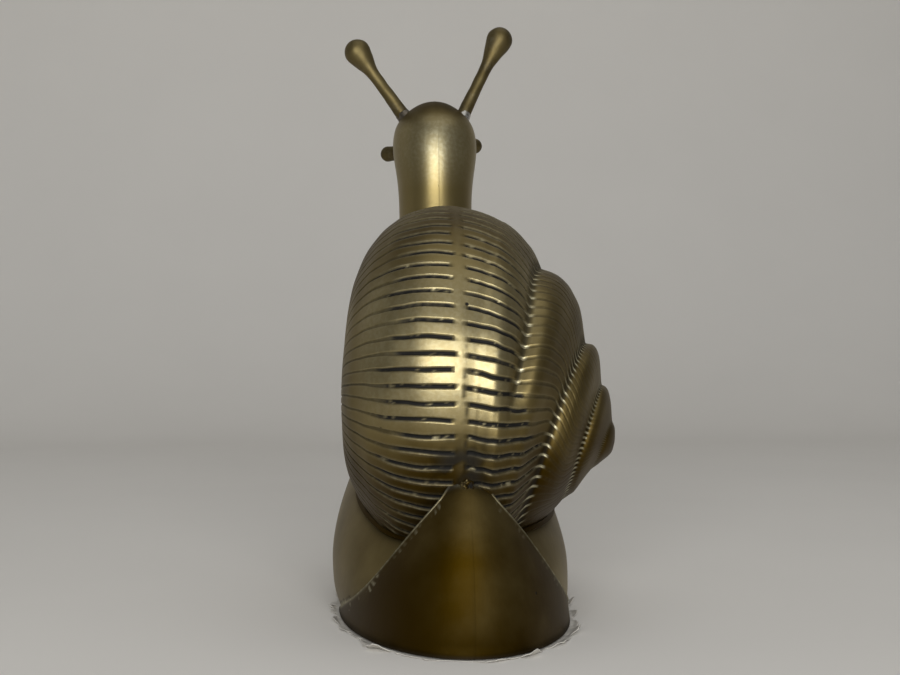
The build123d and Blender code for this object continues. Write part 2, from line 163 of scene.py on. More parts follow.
class SnailSizes(bpy.types.PropertyGroup):
    """Sizes of the snail's castings and of the film under it."""

    body_height: length("Body height", 229.3, "Sole to the crown of the head")
    foot_half_width: length("Foot half width", 50.0, "Middle of the foot to its side")
    tail_reach: length("Tail reach", 92.0, "Middle of the shell back to the rear of the foot")
    face_reach: length("Face reach", 126.0, "Middle of the shell forward to the face")
    body_seam_width: length("Body seam width", 1.2, "Braze line between the body castings")
    tail_height: length("Tail height", 59.0, "Sole to the tip of the tail")
    tail_half_width: length("Tail half width", 47.0, "Middle of the tail to its side")
    tail_lean: length("Tail lean", 22.98, "How far forward the tip stands over its base")
    tail_rim: length("Tail rim", 2.6, "Thickness of the tail's rim")
    shell_radius: length("Shell radius", 74.0, "Radius of the shell's broadest slice")
    shell_axis_height: length("Shell axis height", 93.2, "Sole to the shell's axis")
    shell_set_back: length("Shell set back", 3.0, "How far the shell sits behind the origin")
    shell_left_reach: length("Shell left reach", 43.6, "Middle slice to the flat left side")
    spire_reach: length("Spire reach", 67.4, "Middle slice to the tip of the spire")
    shell_sweep: turn("Shell sweep", 10.0, "Turn of the spire towards the tail")
    whorl_tilt: turn("Whorl tilt", 14.0, "Lean of the spire's whorls")
    shell_seam_width: length("Shell seam width", 5.0, "Filed band between the shell castings")
    shell_seam_turn: turn("Shell seam turn", 2.4, "Turn of the seam out of line with the body")
    groove_count: bpy.props.IntProperty(
        name="Grooves", description="Grooves in one turn of the shell", default=75, min=8
    )
    groove_width: length("Groove width", 1.05, "Middle of a groove to its edge")
    groove_depth: length("Groove depth", 0.9, "Depth of a full groove")
    ball_radius: length("Ball radius", 6.5, "Ball at the end of a tentacle")
    rod_radius: length("Rod radius", 3.3, "Root of a tentacle")
    feeler_radius: length("Feeler radius", 3.9, "Round end of a feeler")
    feeler_length: length("Feeler length", 9.0, "Root of a feeler to the middle of its end")
    solder_leg: length("Solder leg", 2.2, "How far the solder spreads round a root")
    solder_height: length("Solder height", 4.4, "How far the solder climbs a root")
    film_overhang: length("Film overhang", 6.8, "Widest strip of film round the foot")
    film_thickness: length("Film thickness", 0.25, "Thickness of the film")


class SnailColours(bpy.types.PropertyGroup):
    """Colours of the snail's metals and film and of the stage."""

    patina: tint("Patina", "#3f2e02", "Dark brown skin of the brass")
    brass: tint("Brass", "#8a7b51", "Brass where the skin is thin")
    # Also the colour of the painted highlights and glints
    worn_and_glint: tint("Worn brass", "#c6c0a2", "Brass that hands and files have rubbed bright")
    # Also the colour of the painted shade on the tail and crown
    grime_and_shade: tint("Grime", "#0d0b07", "Black wax and dirt in the grooves")
    solder: tint("Solder", "#c9c6be", "Silver solder")
    film: tint("Film", "#d2cec5", "Cloudy plastic film")
    floor: tint("Floor", "#e4e1db", "Pale floor and backdrop")


def add(tree, kind, settings, values=()):
    """Adds a node, sets its options, and sets or links its inputs by place or name."""
    made = tree.nodes.new(kind)
    for name, value in dict(settings).items():
        setattr(made, name, value)
    for socket, value in dict(values).items() if isinstance(values, dict) else enumerate(values):
        if isinstance(value, bpy.types.Node):
            value = value.outputs[0]
        if isinstance(value, bpy.types.NodeSocket):
            tree.links.new(value, made.inputs[socket])
        elif value is not None:
            made.inputs[socket].default_value = value
    return made


MATH = "ShaderNodeMath"
RANGE = "ShaderNodeMapRange"
MIX = "ShaderNodeMix"
TIMES = {"operation": "MULTIPLY"}
PLUS = {"operation": "ADD"}
MINUS = {"operation": "SUBTRACT"}
TIMES_PLUS = {"operation": "MULTIPLY_ADD"}
SMOOTH = {"interpolation_type": "SMOOTHSTEP"}
COLOUR = {"data_type": "RGBA"}


def new_material(name):
    """An empty procedural material, its Principled shader and its object coordinates."""
    made = bpy.data.materials.new(name)
    made.use_nodes = True
    tree = made.node_tree
    shader = tree.nodes["Principled BSDF"]
    place = tree.nodes.new("ShaderNodeTexCoord").outputs["Object"]
    return made, tree, shader, place


def brass_material(name, roughness, file_marks):
    """Cast brass, chemically browned, waxed and rubbed: a dark olive metal with cloudy patches,
    golden where it is rubbed, black in the grooves, with small casting pits. Its attributes also
    carry painted light: paler skin and rubbed-bright colour for painted highlights and glints,
    near-black for painted shade."""
    colours = bpy.context.scene.snail_colours
    made, tree, shader, place = new_material(name)
    # Cloudy patches of the brown skin, about 30 mm across
    cloud = add(
        tree, "ShaderNodeTexNoise", {}, {"Vector": place, "Scale": 1 / (30 * MM), "Detail": 4.0}
    )
    # Grain of the casting sand, 0.6 mm in life, drawn at 1.6 mm so that it shows
    grain = add(
        tree, "ShaderNodeTexNoise", {}, {"Vector": place, "Scale": 1 / (1.6 * MM), "Detail": 3.0}
    )
    # Gas pits about 1 mm wide, one in several 8 mm cells
    cell = add(tree, "ShaderNodeTexVoronoi", {}, {"Vector": place, "Scale": 1 / (8 * MM)})
    chance = add(tree, "ShaderNodeSeparateColor", {}, [cell.outputs["Color"]])
    pit_core = add(tree, RANGE, SMOOTH, [cell.outputs["Distance"], 0.05, 0.13, 1.0, 0.0])
    pit_here = add(tree, MATH, {"operation": "GREATER_THAN"}, [chance, 0.93])
    pit = add(tree, MATH, TIMES, [pit_core, pit_here])
    # The attributes read here carry painted light as well as dirt, wear and tone: painted shade darkens, painted
    # highlights and glints brighten, and the skin is painted paler or darker
    grime_and_shade = add(tree, "ShaderNodeAttribute", {"attribute_name": "grime_and_shade"}).outputs["Fac"]
    wear_and_highlight = add(tree, "ShaderNodeAttribute", {"attribute_name": "wear_and_highlight"}).outputs["Fac"]
    tone = add(tree, "ShaderNodeAttribute", {"attribute_name": "tone"}).outputs["Fac"]
    thin = add(tree, MATH, TIMES_PLUS, [cloud, 0.9, tone])
    skin = add(tree, RANGE, SMOOTH, [thin, 0.38, 1.35, 0.0, 1.0])
    base = add(tree, MIX, COLOUR, {0: skin, 6: list(colours.patina), 7: list(colours.brass)})
    rub = add(tree, RANGE, SMOOTH, [grain, 0.35, 0.7, 0.55, 1.0])
    rubbed = add(tree, MATH, TIMES, [wear_and_highlight, rub])
    worn_and_glint = add(tree, MIX, COLOUR, {0: rubbed, 6: base.outputs[2], 7: list(colours.worn_and_glint)})
    # The dark mix below includes painted shade as well as dirt and pits
    dirt = add(tree, MATH, {"operation": "MAXIMUM"}, [grime_and_shade, pit])
    shade = add(tree, MIX, COLOUR, {0: dirt, 6: worn_and_glint.outputs[2], 7: list(colours.grime_and_shade)})
    tree.links.new(shade.outputs[2], shader.inputs["Base Color"])
    cloudy = add(tree, MATH, TIMES_PLUS, [cloud, 0.16, roughness + 0.14])
    thick = add(tree, MATH, TIMES_PLUS, [skin, -0.13, cloudy])
    rough = add(tree, MATH, TIMES_PLUS, [dirt, 0.3, thick])
    tree.links.new(rough.outputs[0], shader.inputs["Roughness"])
    metal = add(tree, RANGE, SMOOTH, [dirt, 0.45, 1.0, 1.0, 0.45])
    tree.links.new(metal.outputs[0], shader.inputs["Metallic"])
    # File marks 0.5 mm apart in life, drawn at 1.2 mm, run along the seam
    stretch = add(tree, "ShaderNodeMapping", {}, {"Vector": place, "Scale": (1.0, 0.12, 0.12)})
    marks = add(
        tree, "ShaderNodeTexNoise", {}, {"Vector": stretch, "Scale": 1 / (1.2 * MM), "Detail": 2.0}
    )
    filed = add(tree, MATH, TIMES_PLUS, [marks, file_marks, grain])
    height = add(tree, MATH, TIMES_PLUS, [pit, -3.0, filed])
    bump = add(
        tree, "ShaderNodeBump", {}, {"Strength": 0.22, "Distance": 0.15 * MM, "Height": height}
    )
    tree.links.new(bump.outputs[0], shader.inputs["Normal"])
    return made


def solder_material():
    """Silver solder that froze where it flowed: bright, lumpy, grey where flux is left."""
    colours = bpy.context.scene.snail_colours
    made, tree, shader, place = new_material("Flowed silver solder")
    # Frozen ripples about 1.5 mm apart
    ripple = add(
        tree, "ShaderNodeTexNoise", {}, {"Vector": place, "Scale": 1 / (1.5 * MM), "Detail": 3.0}
    )
    flux = add(tree, RANGE, SMOOTH, [ripple, 0.52, 0.72, 0.0, 0.7])
    browned = add(tree, "ShaderNodeAttribute", {"attribute_name": "grime_and_shade"}).outputs["Fac"]
    covered = add(tree, MATH, {"operation": "MAXIMUM"}, [flux, browned])
    shade = add(
        tree, MIX, COLOUR, {0: covered, 6: list(colours.solder), 7: list(colours.patina)}
    )
    tree.links.new(shade.outputs[2], shader.inputs["Base Color"])
    rough = add(tree, MATH, TIMES_PLUS, [ripple, 0.3, 0.16])
    tree.links.new(rough.outputs[0], shader.inputs["Roughness"])
    shader.inputs["Metallic"].default_value = 1.0
    bump = add(
        tree, "ShaderNodeBump", {}, {"Strength": 0.4, "Distance": 0.3 * MM, "Height": ripple}
    )
    tree.links.new(bump.outputs[0], shader.inputs["Normal"])
    return made


def film_material():
    """Blown polythene film, torn and trodden: cloudy, softly shiny, dull along its creases."""
    colours = bpy.context.scene.snail_colours
    made, tree, shader, place = new_material("Torn polythene film")
    # Creases about 4 mm apart and stains about 15 mm across
    crease = add(
        tree, "ShaderNodeTexVoronoi", {"feature": "DISTANCE_TO_EDGE"},
        {"Vector": place, "Scale": 1 / (4 * MM)},
    )
    stain = add(
        tree, "ShaderNodeTexNoise", {}, {"Vector": place, "Scale": 1 / (15 * MM), "Detail": 5.0}
    )
    dull = add(tree, RANGE, SMOOTH, [stain, 0.45, 0.75, 0.0, 0.55])
    grey = [share * 0.45 for share in colours.film[:3]] + [1.0]
    shade = add(tree, MIX, COLOUR, {0: dull, 6: list(colours.film), 7: grey})
    tree.links.new(shade.outputs[2], shader.inputs["Base Color"])
    rough = add(tree, RANGE, {}, [crease, 0.0, 0.12, 0.55, 0.28])
    tree.links.new(rough.outputs[0], shader.inputs["Roughness"])
    shader.inputs["IOR"].default_value = 1.51
    shader.inputs["Transmission Weight"].default_value = 0.12
    bump = add(
        tree, "ShaderNodeBump", {}, {"Strength": 0.5, "Distance": 0.3 * MM, "Height": crease}
    )
    tree.links.new(bump.outputs[0], shader.inputs["Normal"])
    return made


def floor_material():
    """Matt paper sweep: pale, with a faint unevenness."""
    colours = bpy.context.scene.snail_colours
    made, tree, shader, place = new_material("Matt paper sweep")
    # Unevenness of the paper about 120 mm across
    cloud = add(
        tree, "ShaderNodeTexNoise", {}, {"Vector": place, "Scale": 1 / (120 * MM), "Detail": 2.0}
    )
    darker = [share * 0.96 for share in colours.floor[:3]] + [1.0]
    shade = add(tree, MIX, COLOUR, {0: cloud, 6: list(colours.floor), 7: darker})
    tree.links.new(shade.outputs[2], shader.inputs["Base Color"])
    shader.inputs["Roughness"].default_value = 0.85
    return made


def finish_of(name):
    """A material by name, made once."""
    makers = {
        "Browned cast brass": lambda n: brass_material(n, 0.30, 0.0),
        "Browned brass with file marks": lambda n: brass_material(n, 0.32, 0.8),
        "Flowed silver solder": lambda n: solder_material(),
        "Torn polythene film": lambda n: film_material(),
    }
    return bpy.data.materials.get(name) or makers[name](name)


def smooth_rows(rows, steps, weights):
    """Finer rows along a natural cubic spline through the given ones, evenly spaced."""
    knots = np.array(rows, float)
    spans = np.linalg.norm(np.diff(knots, axis=0) * weights, axis=1)
    at = np.concatenate([[0], np.cumsum(spans)])
    count = len(at)
    system = np.eye(count)
    pull = np.zeros_like(knots)
    slopes = np.diff(knots, axis=0) / spans[:, None]
    for i in range(1, count - 1):
        system[i, i - 1 : i + 2] = spans[i - 1], 2 * (spans[i - 1] + spans[i]), spans[i]
        pull[i] = 6 * (slopes[i] - slopes[i - 1])
    bend = np.linalg.solve(system, pull)
    where = np.linspace(0, at[-1], steps)
    low = np.clip(np.searchsorted(at, where, side="right") - 1, 0, count - 2)
    span = spans[low][:, None]
    ahead = (where - at[low])[:, None]
    left = span - ahead
    curve = (bend[low] * left**3 + bend[low + 1] * ahead**3) / (6 * span)
    curve += (knots[low] / span - bend[low] * span / 6) * left
    curve += (knots[low + 1] / span - bend[low + 1] * span / 6) * ahead
    return curve


def grid_faces(rows, columns, start, closed):
    """Faces of a grid of points, closed round its columns or left open."""
    faces = []
    for row in range(rows - 1):
        for column in range(columns if closed else columns - 1):
            along = (column + 1) % columns
            low, high = start + row * columns, start + (row + 1) * columns
            faces.append((low + column, low + along, high + along, high + column))
    return faces


def closed_mesh(name, points, faces):
    """A mesh with its doubles merged, its holes closed and its faces pointing outwards."""
    mesh = bpy.data.meshes.new(name)
    mesh.from_pydata([tuple(p) for p in points], [], faces)
    form = bmesh.new()
    form.from_mesh(mesh)
    bmesh.ops.remove_doubles(form, verts=form.verts, dist=0.004 * MM)
    bmesh.ops.dissolve_degenerate(form, edges=form.edges, dist=0.002 * MM)
    rims = [edge for edge in form.edges if edge.is_boundary]
    for face in bmesh.ops.holes_fill(form, edges=rims, sides=0)["faces"]:
        for edge in face.edges:
            edge.smooth = False
    bmesh.ops.recalc_face_normals(form, faces=form.faces)
    for face in form.faces:
        face.smooth = True
    form.to_mesh(mesh)
    form.free()
    return mesh


def store(mesh, name, values):
    """Keeps a number for each point of a mesh, for its material."""
    kept = mesh.attributes.get(name) or mesh.attributes.new(name, "FLOAT", "POINT")
    kept.data.foreach_set("value", np.clip(values, 0, 1).astype(np.float32))


def points_of(mesh):
    """The points of a mesh as an array."""
    flat = np.empty(len(mesh.vertices) * 3, np.float32)
    mesh.vertices.foreach_get("co", flat)
    return flat.reshape(-1, 3).astype(float)


def cut_out(source, name, planes, snap):
    """A copy of closed forms on the near side of each plane, closed again where it is cut.
    Points that lie nearer to a plane than snap are moved onto it."""
    form = bmesh.new()
    form.from_mesh(source)
    for point, normal in planes:
        everything = form.verts[:] + form.edges[:] + form.faces[:]
        cut = bmesh.ops.bisect_plane(
            form, geom=everything, dist=snap, plane_co=point, plane_no=normal,
            use_snap_center=True, clear_outer=True,
        )["geom_cut"]
        rims = [edge for edge in cut if isinstance(edge, bmesh.types.BMEdge)]
        for edge in rims:
            edge.smooth = False
        for face in bmesh.ops.holes_fill(form, edges=rims, sides=0)["faces"]:
            face.smooth = False
    mesh = bpy.data.meshes.new(name)
    form.to_mesh(mesh)
    form.free()
    if not mesh.polygons:
        raise RuntimeError(f"{name} came out empty")
    return mesh


def place_piece(name, mesh, finish, slot, *nodes):
    """Puts a finished mesh in the scene as a piece of the snail, in place of its solids."""
    mesh.materials.clear()
    mesh.materials.append(finish_of(finish))
    made = bpy.data.objects.new(name, mesh)
    bpy.context.scene.collection.objects.link(made)
    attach(made, "root")
    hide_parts(*nodes)
    return made


def shell_gap(points):
    """How far each point lies from the solids of the shell."""
    corners, faces = [], []
    for name in ("shell_left", "shell_right", "shell_seam"):
        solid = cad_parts[name].data
        start = len(corners)
        corners += [vert.co.copy() for vert in solid.vertices]
        faces += [[start + at for at in face.vertices] for face in solid.polygons]
    skin = BVHTree.FromPolygons(corners, faces)
    return np.array([skin.find_nearest(Vector(point))[3] for point in points])


def tail_reaches(sizes, rise):
    """Half width and reach of the tail's outer wall at a share of its height."""
    lean = sizes.tail_lean * rise**2
    return sizes.tail_half_width - lean, sizes.tail_reach - lean


def tail_rim_rises(sizes, angles):
    """Height of the tail's rim, as a share, at angles from the rear round to the side."""
    rows = smooth_rows(TAIL_RIM, 200, (1.0, 1.0))
    _, reach = tail_reaches(sizes, rows[:, 1])
    ahead = (reach - sizes.tail_rim * rows[:, 1]) * np.cos(rows[:, 0] * math.pi / 2) / reach
    return np.interp(np.abs(angles), np.arccos(np.clip(ahead, -1, 1)), rows[:, 1])


def tail_points(sizes, angles, rises):
    """Points of the tail's outer wall."""
    half_width, reach = tail_reaches(sizes, rises)
    level = SOLE + rises * sizes.tail_height
    return np.stack([half_width * np.sin(angles), -reach * np.cos(angles), level], -1)


def body_forms():
    """The foot, neck and head, and the upturned tail, as two closed forms in one mesh."""
    sizes = bpy.context.scene.snail_sizes
    levels, around = 230, 200
    long = sizes.tail_reach + sizes.face_reach
    weights = (sizes.body_height, sizes.foot_half_width, long, long)
    rows = smooth_rows(BODY_SLICES, levels, weights)
    angle = np.linspace(0, 2 * math.pi, around, endpoint=False)[None, :]
    half_width = np.maximum(rows[:, 1:2], 0) * sizes.foot_half_width
    half_length = (rows[:, 3:4] - rows[:, 2:3]) * long / 2
    middle = (rows[:, 3:4] + rows[:, 2:3]) * long / 2 - sizes.tail_reach
    level = np.clip(rows[:, 0:1], 0, 1) * sizes.body_height + SOLE + 0 * angle
    body = np.stack(
        [half_width * np.sin(angle), middle - half_length * np.cos(angle), level], -1
    ).reshape(-1, 3)
    faces = grid_faces(levels, around, 0, True)
    # Outer wall of the tail, then the top between its rims
    columns, heights, inner = 481, 90, 40
    sweep = np.linspace(-math.pi / 2, math.pi / 2, columns)[None, :]
    rim = tail_rim_rises(sizes, sweep)
    wall = tail_points(sizes, sweep + 0 * rim, np.linspace(0, 1, heights)[:, None] * rim)
    faces += grid_faces(heights, columns, len(body), False)
    half = columns // 2
    edge = wall[-1]
    share = np.linspace(0, 1, inner)[:, None, None]
    top = edge[half::-1][None] * (1 - share) + edge[half:][None] * share
    faces += grid_faces(inner, half + 1, len(body) + heights * columns, False)
    points = np.concatenate([body, wall.reshape(-1, 3), top.reshape(-1, 3)])
    mesh = closed_mesh("body_forms", points, faces)
    form = bmesh.new()
    form.from_mesh(mesh)
    sharp = [
        edge
        for edge in form.edges
        if edge.is_manifold
        and edge.calc_face_angle() > 0.6
        and min(vert.co.z for vert in edge.verts) > SOLE + 2 * MM
        and max(vert.co.y for vert in edge.verts) < -4 * MM
    ]
    bmesh.ops.bevel(
        form, geom=sharp, offset=0.7 * MM, segments=3, affect="EDGES", profile=0.5, clamp_overlap=True
    )
    form.to_mesh(mesh)
    form.free()
    dress_body(mesh)
    return mesh


def dress_body(mesh):
    """Uneven hand finish of the body, darker in the corner against the shell and along the sole, with painted
    highlights and painted shade.
    """
    sizes = bpy.context.scene.snail_sizes
    points = points_of(mesh)
    normals = np.empty(len(points) * 3, np.float32)
    mesh.vertex_normals.foreach_get("vector", normals)
    normals = normals.reshape(-1, 3)
    x, y, z = points.T
    above = np.clip((z - SOLE) / (4 * MM), 0, 1)
    swell = np.array([noise.noise(Vector(p) / (26 * MM)) for p in points])
    points -= normals * ((0.3 - swell[:, None] * 0.3) * MM * above[:, None])
    mesh.vertices.foreach_set("co", points.astype(np.float32).ravel())
    mesh.update()
    gap = shell_gap(points)
    # Darker in the corner against the shell and along the sole
    corner = np.exp(-((gap / (2.6 * MM)) ** 2)) * 0.85
    bottom = np.exp(-(((z - SOLE) / (2.2 * MM)) ** 2)) * 0.7
    half_width, reach = tail_reaches(sizes, np.clip((z - SOLE) / sizes.tail_height, 0, 1))
    angle = np.arctan2(np.abs(x) / half_width, -y / reach)
    below = SOLE + tail_rim_rises(sizes, angle) * sizes.tail_height - z
    off_tail = (np.hypot(x / half_width, y / reach) - 0.993) / 0.03
    on_tail = np.exp(-(off_tail**2)) * (y < 0) * (below > -1.5 * MM)
    # Painted highlight along the rim of the tail, over its rubbed edge
    edge = np.exp(-((below / (1.0 * MM)) ** 2)) * on_tail * (z > SOLE + 2 * MM)
    # Chatter of the file in short strokes below the rim, most of them on the left, painted bright as their glints
    round_rim = angle * np.sign(x) * sizes.tail_half_width
    lengths = np.array([noise.noise(Vector((at / (5 * MM), 0, 0))) for at in round_rim])
    strokes = np.cos(2 * math.pi * (round_rim + 0.6 * below * np.sign(x)) / (1.9 * MM) + 3 * lengths)
    ends = (below > 1.6 * MM) * (below < (3.8 + 4 * lengths) * MM)
    stretch = on_tail * (angle > 0.35) * (angle < 1.2) * np.where(x < 0, 0.6, 0.2)
    chatter_glints = np.clip(strokes * 1.6, 0, 1) * np.clip(lengths * 4 + 0.2, 0, 1) * ends * stretch
    # Painted highlight down the back of the head, strongest along its middle, and painted shade on the crown
    height = (z - SOLE) / sizes.body_height
    nape = np.clip((height - 0.80) / 0.08, 0, 1) * np.clip((0.965 - height) / 0.04, 0, 1)
    nape *= 0.15 + 0.45 * np.exp(-((x / (11 * MM)) ** 2))
    crown = np.clip((height - 0.93) / 0.05, 0, 1)
    store(mesh, "wear_and_highlight", np.maximum(np.maximum(edge * 0.9, nape), chatter_glints))
    # Painted light: the foot, neck and head lighter with height and darker on the crown, the tail dark with a lighter
    # top
    foot_tone = np.clip(height * 1.35 - 0.2, 0.5, 0.9) - 0.6 * crown
    tail_tone = np.clip((height - 0.1) * 2.0, 0.0, 0.3)
    store(mesh, "tone", tail_tone * on_tail + foot_tone * (1 - on_tail))
    # Painted shade on the lower tail, heaviest down its middle, and on the crown
    middle = np.exp(-((x / (15 * MM)) ** 2))
    painted_shade = on_tail * np.clip(1.1 - height / 0.2, 0, 1) * (0.12 + 0.33 * middle)
    painted_shade = np.maximum(painted_shade, crown * 0.3)
    store(mesh, "grime_and_shade", np.maximum(np.maximum(corner, bottom), painted_shade))


class SNAIL_OT_body(bpy.types.Operator):
    """Foot, neck, head and tail in two castings with a line of braze between them"""

    bl_idname = "snail.body"
    bl_label = "Body castings"

    def execute(self, context):
        half = context.scene.snail_sizes.body_seam_width / 2
        whole = body_forms()
        snap = 0.28 * MM
        left, right = (Vector((-half, 0, 0)), Vector((1, 0, 0))), (Vector((half, 0, 0)), Vector((-1, 0, 0)))
        cast = "Browned cast brass"
        place_piece("body_left_casting", cut_out(whole, "body_left", [left], snap), cast, "patinated_brass", "body_left")
        place_piece("body_right_casting", cut_out(whole, "body_right", [right], snap), cast, "patinated_brass", "body_right")
        planes = [(left[0], -left[1]), (right[0], -right[1])]
        seam = cut_out(whole, "body_seam", planes, snap)
        form = bmesh.new()
        form.from_mesh(seam)
        for offset in (-0.5 * half, 0, 0.5 * half):
            everything = form.verts[:] + form.edges[:] + form.faces[:]
            bmesh.ops.bisect_plane(form, geom=everything, plane_co=(offset, 0, 0), plane_no=(1, 0, 0))
        form.normal_update()
        for vert in form.verts:
            vert.co += vert.normal * 0.05 * MM * max(0, 1 - abs(vert.co.x) / half) ** 0.5
        form.to_mesh(seam)
        form.free()
        place_piece("body_braze_line", seam, "Browned brass with file marks", "seam_brass", "body_seam")
        bpy.data.meshes.remove(whole)
        return {"FINISHED"}


def slice_curve(tree, along, column, low, high):
    """Nothing but the settings of one curve of the shell's slices, read along the profile."""
    made = add(tree, "ShaderNodeFloatCurve", {}, {"Value": along})
    rows = np.array(SHELL_SLICES)
    sizes = bpy.context.scene.snail_sizes
    wide = sizes.shell_left_reach + sizes.spire_reach
    steps = np.diff(rows[:, :2], axis=0) * (wide, sizes.shell_radius)
    # The spire gets more rows, because its whorls are smaller
    spans = np.linalg.norm(steps, axis=1) * np.where(rows[1:, 0] > 0.55, 1.7, 1.0)
    at = np.concatenate([[0], np.cumsum(spans)]) / spans.sum()
    curve = made.mapping.curves[0]
    values = (rows[:, column] - low) / (high - low)
    curve.points[0].location = (at[0], values[0])
    curve.points[1].location = (at[-1], values[-1])
    for place, value in zip(at[1:-1], values[1:-1]):
        curve.points.new(place, value)
    for point in curve.points:
        point.handle_type = "AUTO_CLAMPED"
    made.mapping.update()
    return add(tree, MATH, TIMES_PLUS, [made, high - low, low])


def shell_tree():
    """The rule of the shell: a spiral of whorls with grooves across it and a seam round it."""
    tree = bpy.data.node_groups.new("Coiled shell", "GeometryNodeTree")
    tree.interface.new_socket("Geometry", in_out="OUTPUT", socket_type="NodeSocketGeometry")
    for name in (
        "Shell radius", "Left reach", "Spire reach", "Axis level", "Set back", "Sweep",
        "Whorl tilt", "Seam turn", "Seam width", "Groove width", "Groove depth",
    ):
        tree.interface.new_socket(name, in_out="INPUT", socket_type="NodeSocketFloat")
    tree.interface.new_socket("Grooves", in_out="INPUT", socket_type="NodeSocketInt")
    tree.interface.new_socket("Seed", in_out="INPUT", socket_type="NodeSocketInt")
    tree.interface.new_socket("Metal", in_out="INPUT", socket_type="NodeSocketMaterial")
    given = tree.nodes.new("NodeGroupInput").outputs
    radius, count = given["Shell radius"], given["Grooves"]

    # A flat grid: rows along the profile, and ten columns to a groove round it
    columns = add(tree, MATH, TIMES_PLUS, [count, 10.0, 1.0])
    grid = add(
        tree, "GeometryNodeMeshGrid", {},
        {"Size X": 1.0, "Size Y": 1.0, "Vertices X": 213, "Vertices Y": columns},
    )
    flat = add(tree, "ShaderNodeSeparateXYZ", {}, [tree.nodes.new("GeometryNodeInputPosition")])
    along = add(tree, MATH, PLUS, [flat.outputs["X"], 0.5])
    round_share = add(tree, MATH, PLUS, [flat.outputs["Y"], 0.5])

    # Place of each slice
    across_share = slice_curve(tree, along, 0, 0.0, 1.0)
    rise_share = slice_curve(tree, along, 1, 0.0, 1.05)
    depth_share = slice_curve(tree, along, 2, 0.0, 1.05)
    drop_share = slice_curve(tree, along, 3, -0.1, 0.4)
    bulge_share = slice_curve(tree, along, 4, 0.0, 0.12)
    whorl = slice_curve(tree, along, 5, 0.0, 4.6)
    tilt_share = slice_curve(tree, along, 6, 0.0, 1.05)
    wide = add(tree, MATH, PLUS, [given["Left reach"], given["Spire reach"]])
    from_left = add(tree, MATH, TIMES, [across_share, wide])
    across = add(tree, MATH, MINUS, [from_left, given["Left reach"]])

    # Columns from the middle of a groove: foot of its wall, edge, lip, then two on the land
    groove_place = add(tree, MATH, TIMES, [round_share, count])
    groove_number = add(tree, MATH, {"operation": "FLOOR"}, [groove_place])
    from_middle = add(tree, MATH, MINUS, [add(tree, MATH, MINUS, [groove_place, groove_number]), 0.5])
    side = add(tree, MATH, {"operation": "SIGN"}, [from_middle])
    step = add(tree, MATH, TIMES, [add(tree, MATH, {"operation": "ABSOLUTE"}, [from_middle]), 10.0])
    depth_reach = add(tree, MATH, TIMES, [depth_share, radius])
    girth = add(tree, MATH, TIMES, [add(tree, MATH, {"operation": "MAXIMUM"}, [depth_reach, 0.01 * MM]), 2 * math.pi])
    pitch = add(tree, MATH, {"operation": "DIVIDE"}, [girth, count])
    fine_left = add(tree, RANGE, SMOOTH, [across, -32 * MM, -14 * MM, 0.5, 1.0])
    fine_right = add(tree, RANGE, SMOOTH, [across, 22 * MM, 40 * MM, 1.0, 0.6])
    fine = add(tree, MATH, TIMES, [fine_left, fine_right])
    wide_cut = add(tree, MATH, TIMES, [given["Groove width"], fine])
    half_cut = add(tree, MATH, {"operation": "MINIMUM"}, [wide_cut, add(tree, MATH, TIMES, [pitch, 0.26])])
    foot = add(tree, MATH, TIMES, [half_cut, 0.55])
    wall = add(tree, MATH, TIMES, [half_cut, 0.45])
    lip_wide = add(tree, MATH, TIMES, [half_cut, 0.3])
    land = add(tree, MATH, TIMES_PLUS, [half_cut, -1.3, add(tree, MATH, TIMES, [pitch, 0.5])])
    spread = 0.0
    for low, high, wide_part in ((0.0, 1.0, foot), (1.0, 2.0, wall), (2.0, 3.0, lip_wide), (3.0, 5.0, land)):
        spread = add(tree, MATH, PLUS, [spread, add(tree, RANGE, {}, [step, low, high, 0.0, wide_part])])
    part = add(tree, MATH, TIMES, [add(tree, MATH, {"operation": "DIVIDE"}, [spread, pitch]), side])

    # Each groove wavers by itself, and the middle of a land stays in place
    track = add(tree, MATH, TIMES, [groove_number, 3.7])
    reading = add(
        tree, "ShaderNodeCombineXYZ", {}, [add(tree, MATH, TIMES, [along, 16.0]), track, 0.0]
    )
    waver = add(tree, "ShaderNodeTexNoise", {}, {"Vector": reading, "Scale": 1.0, "Detail": 1.0})
    held = add(tree, RANGE, SMOOTH, [step, 3.0, 5.0, 1.0, 0.0])
    wavered = add(tree, MATH, TIMES, [add(tree, MATH, MINUS, [waver, 0.5]), held])
    waved_part = add(tree, MATH, TIMES_PLUS, [wavered, 0.3, part])

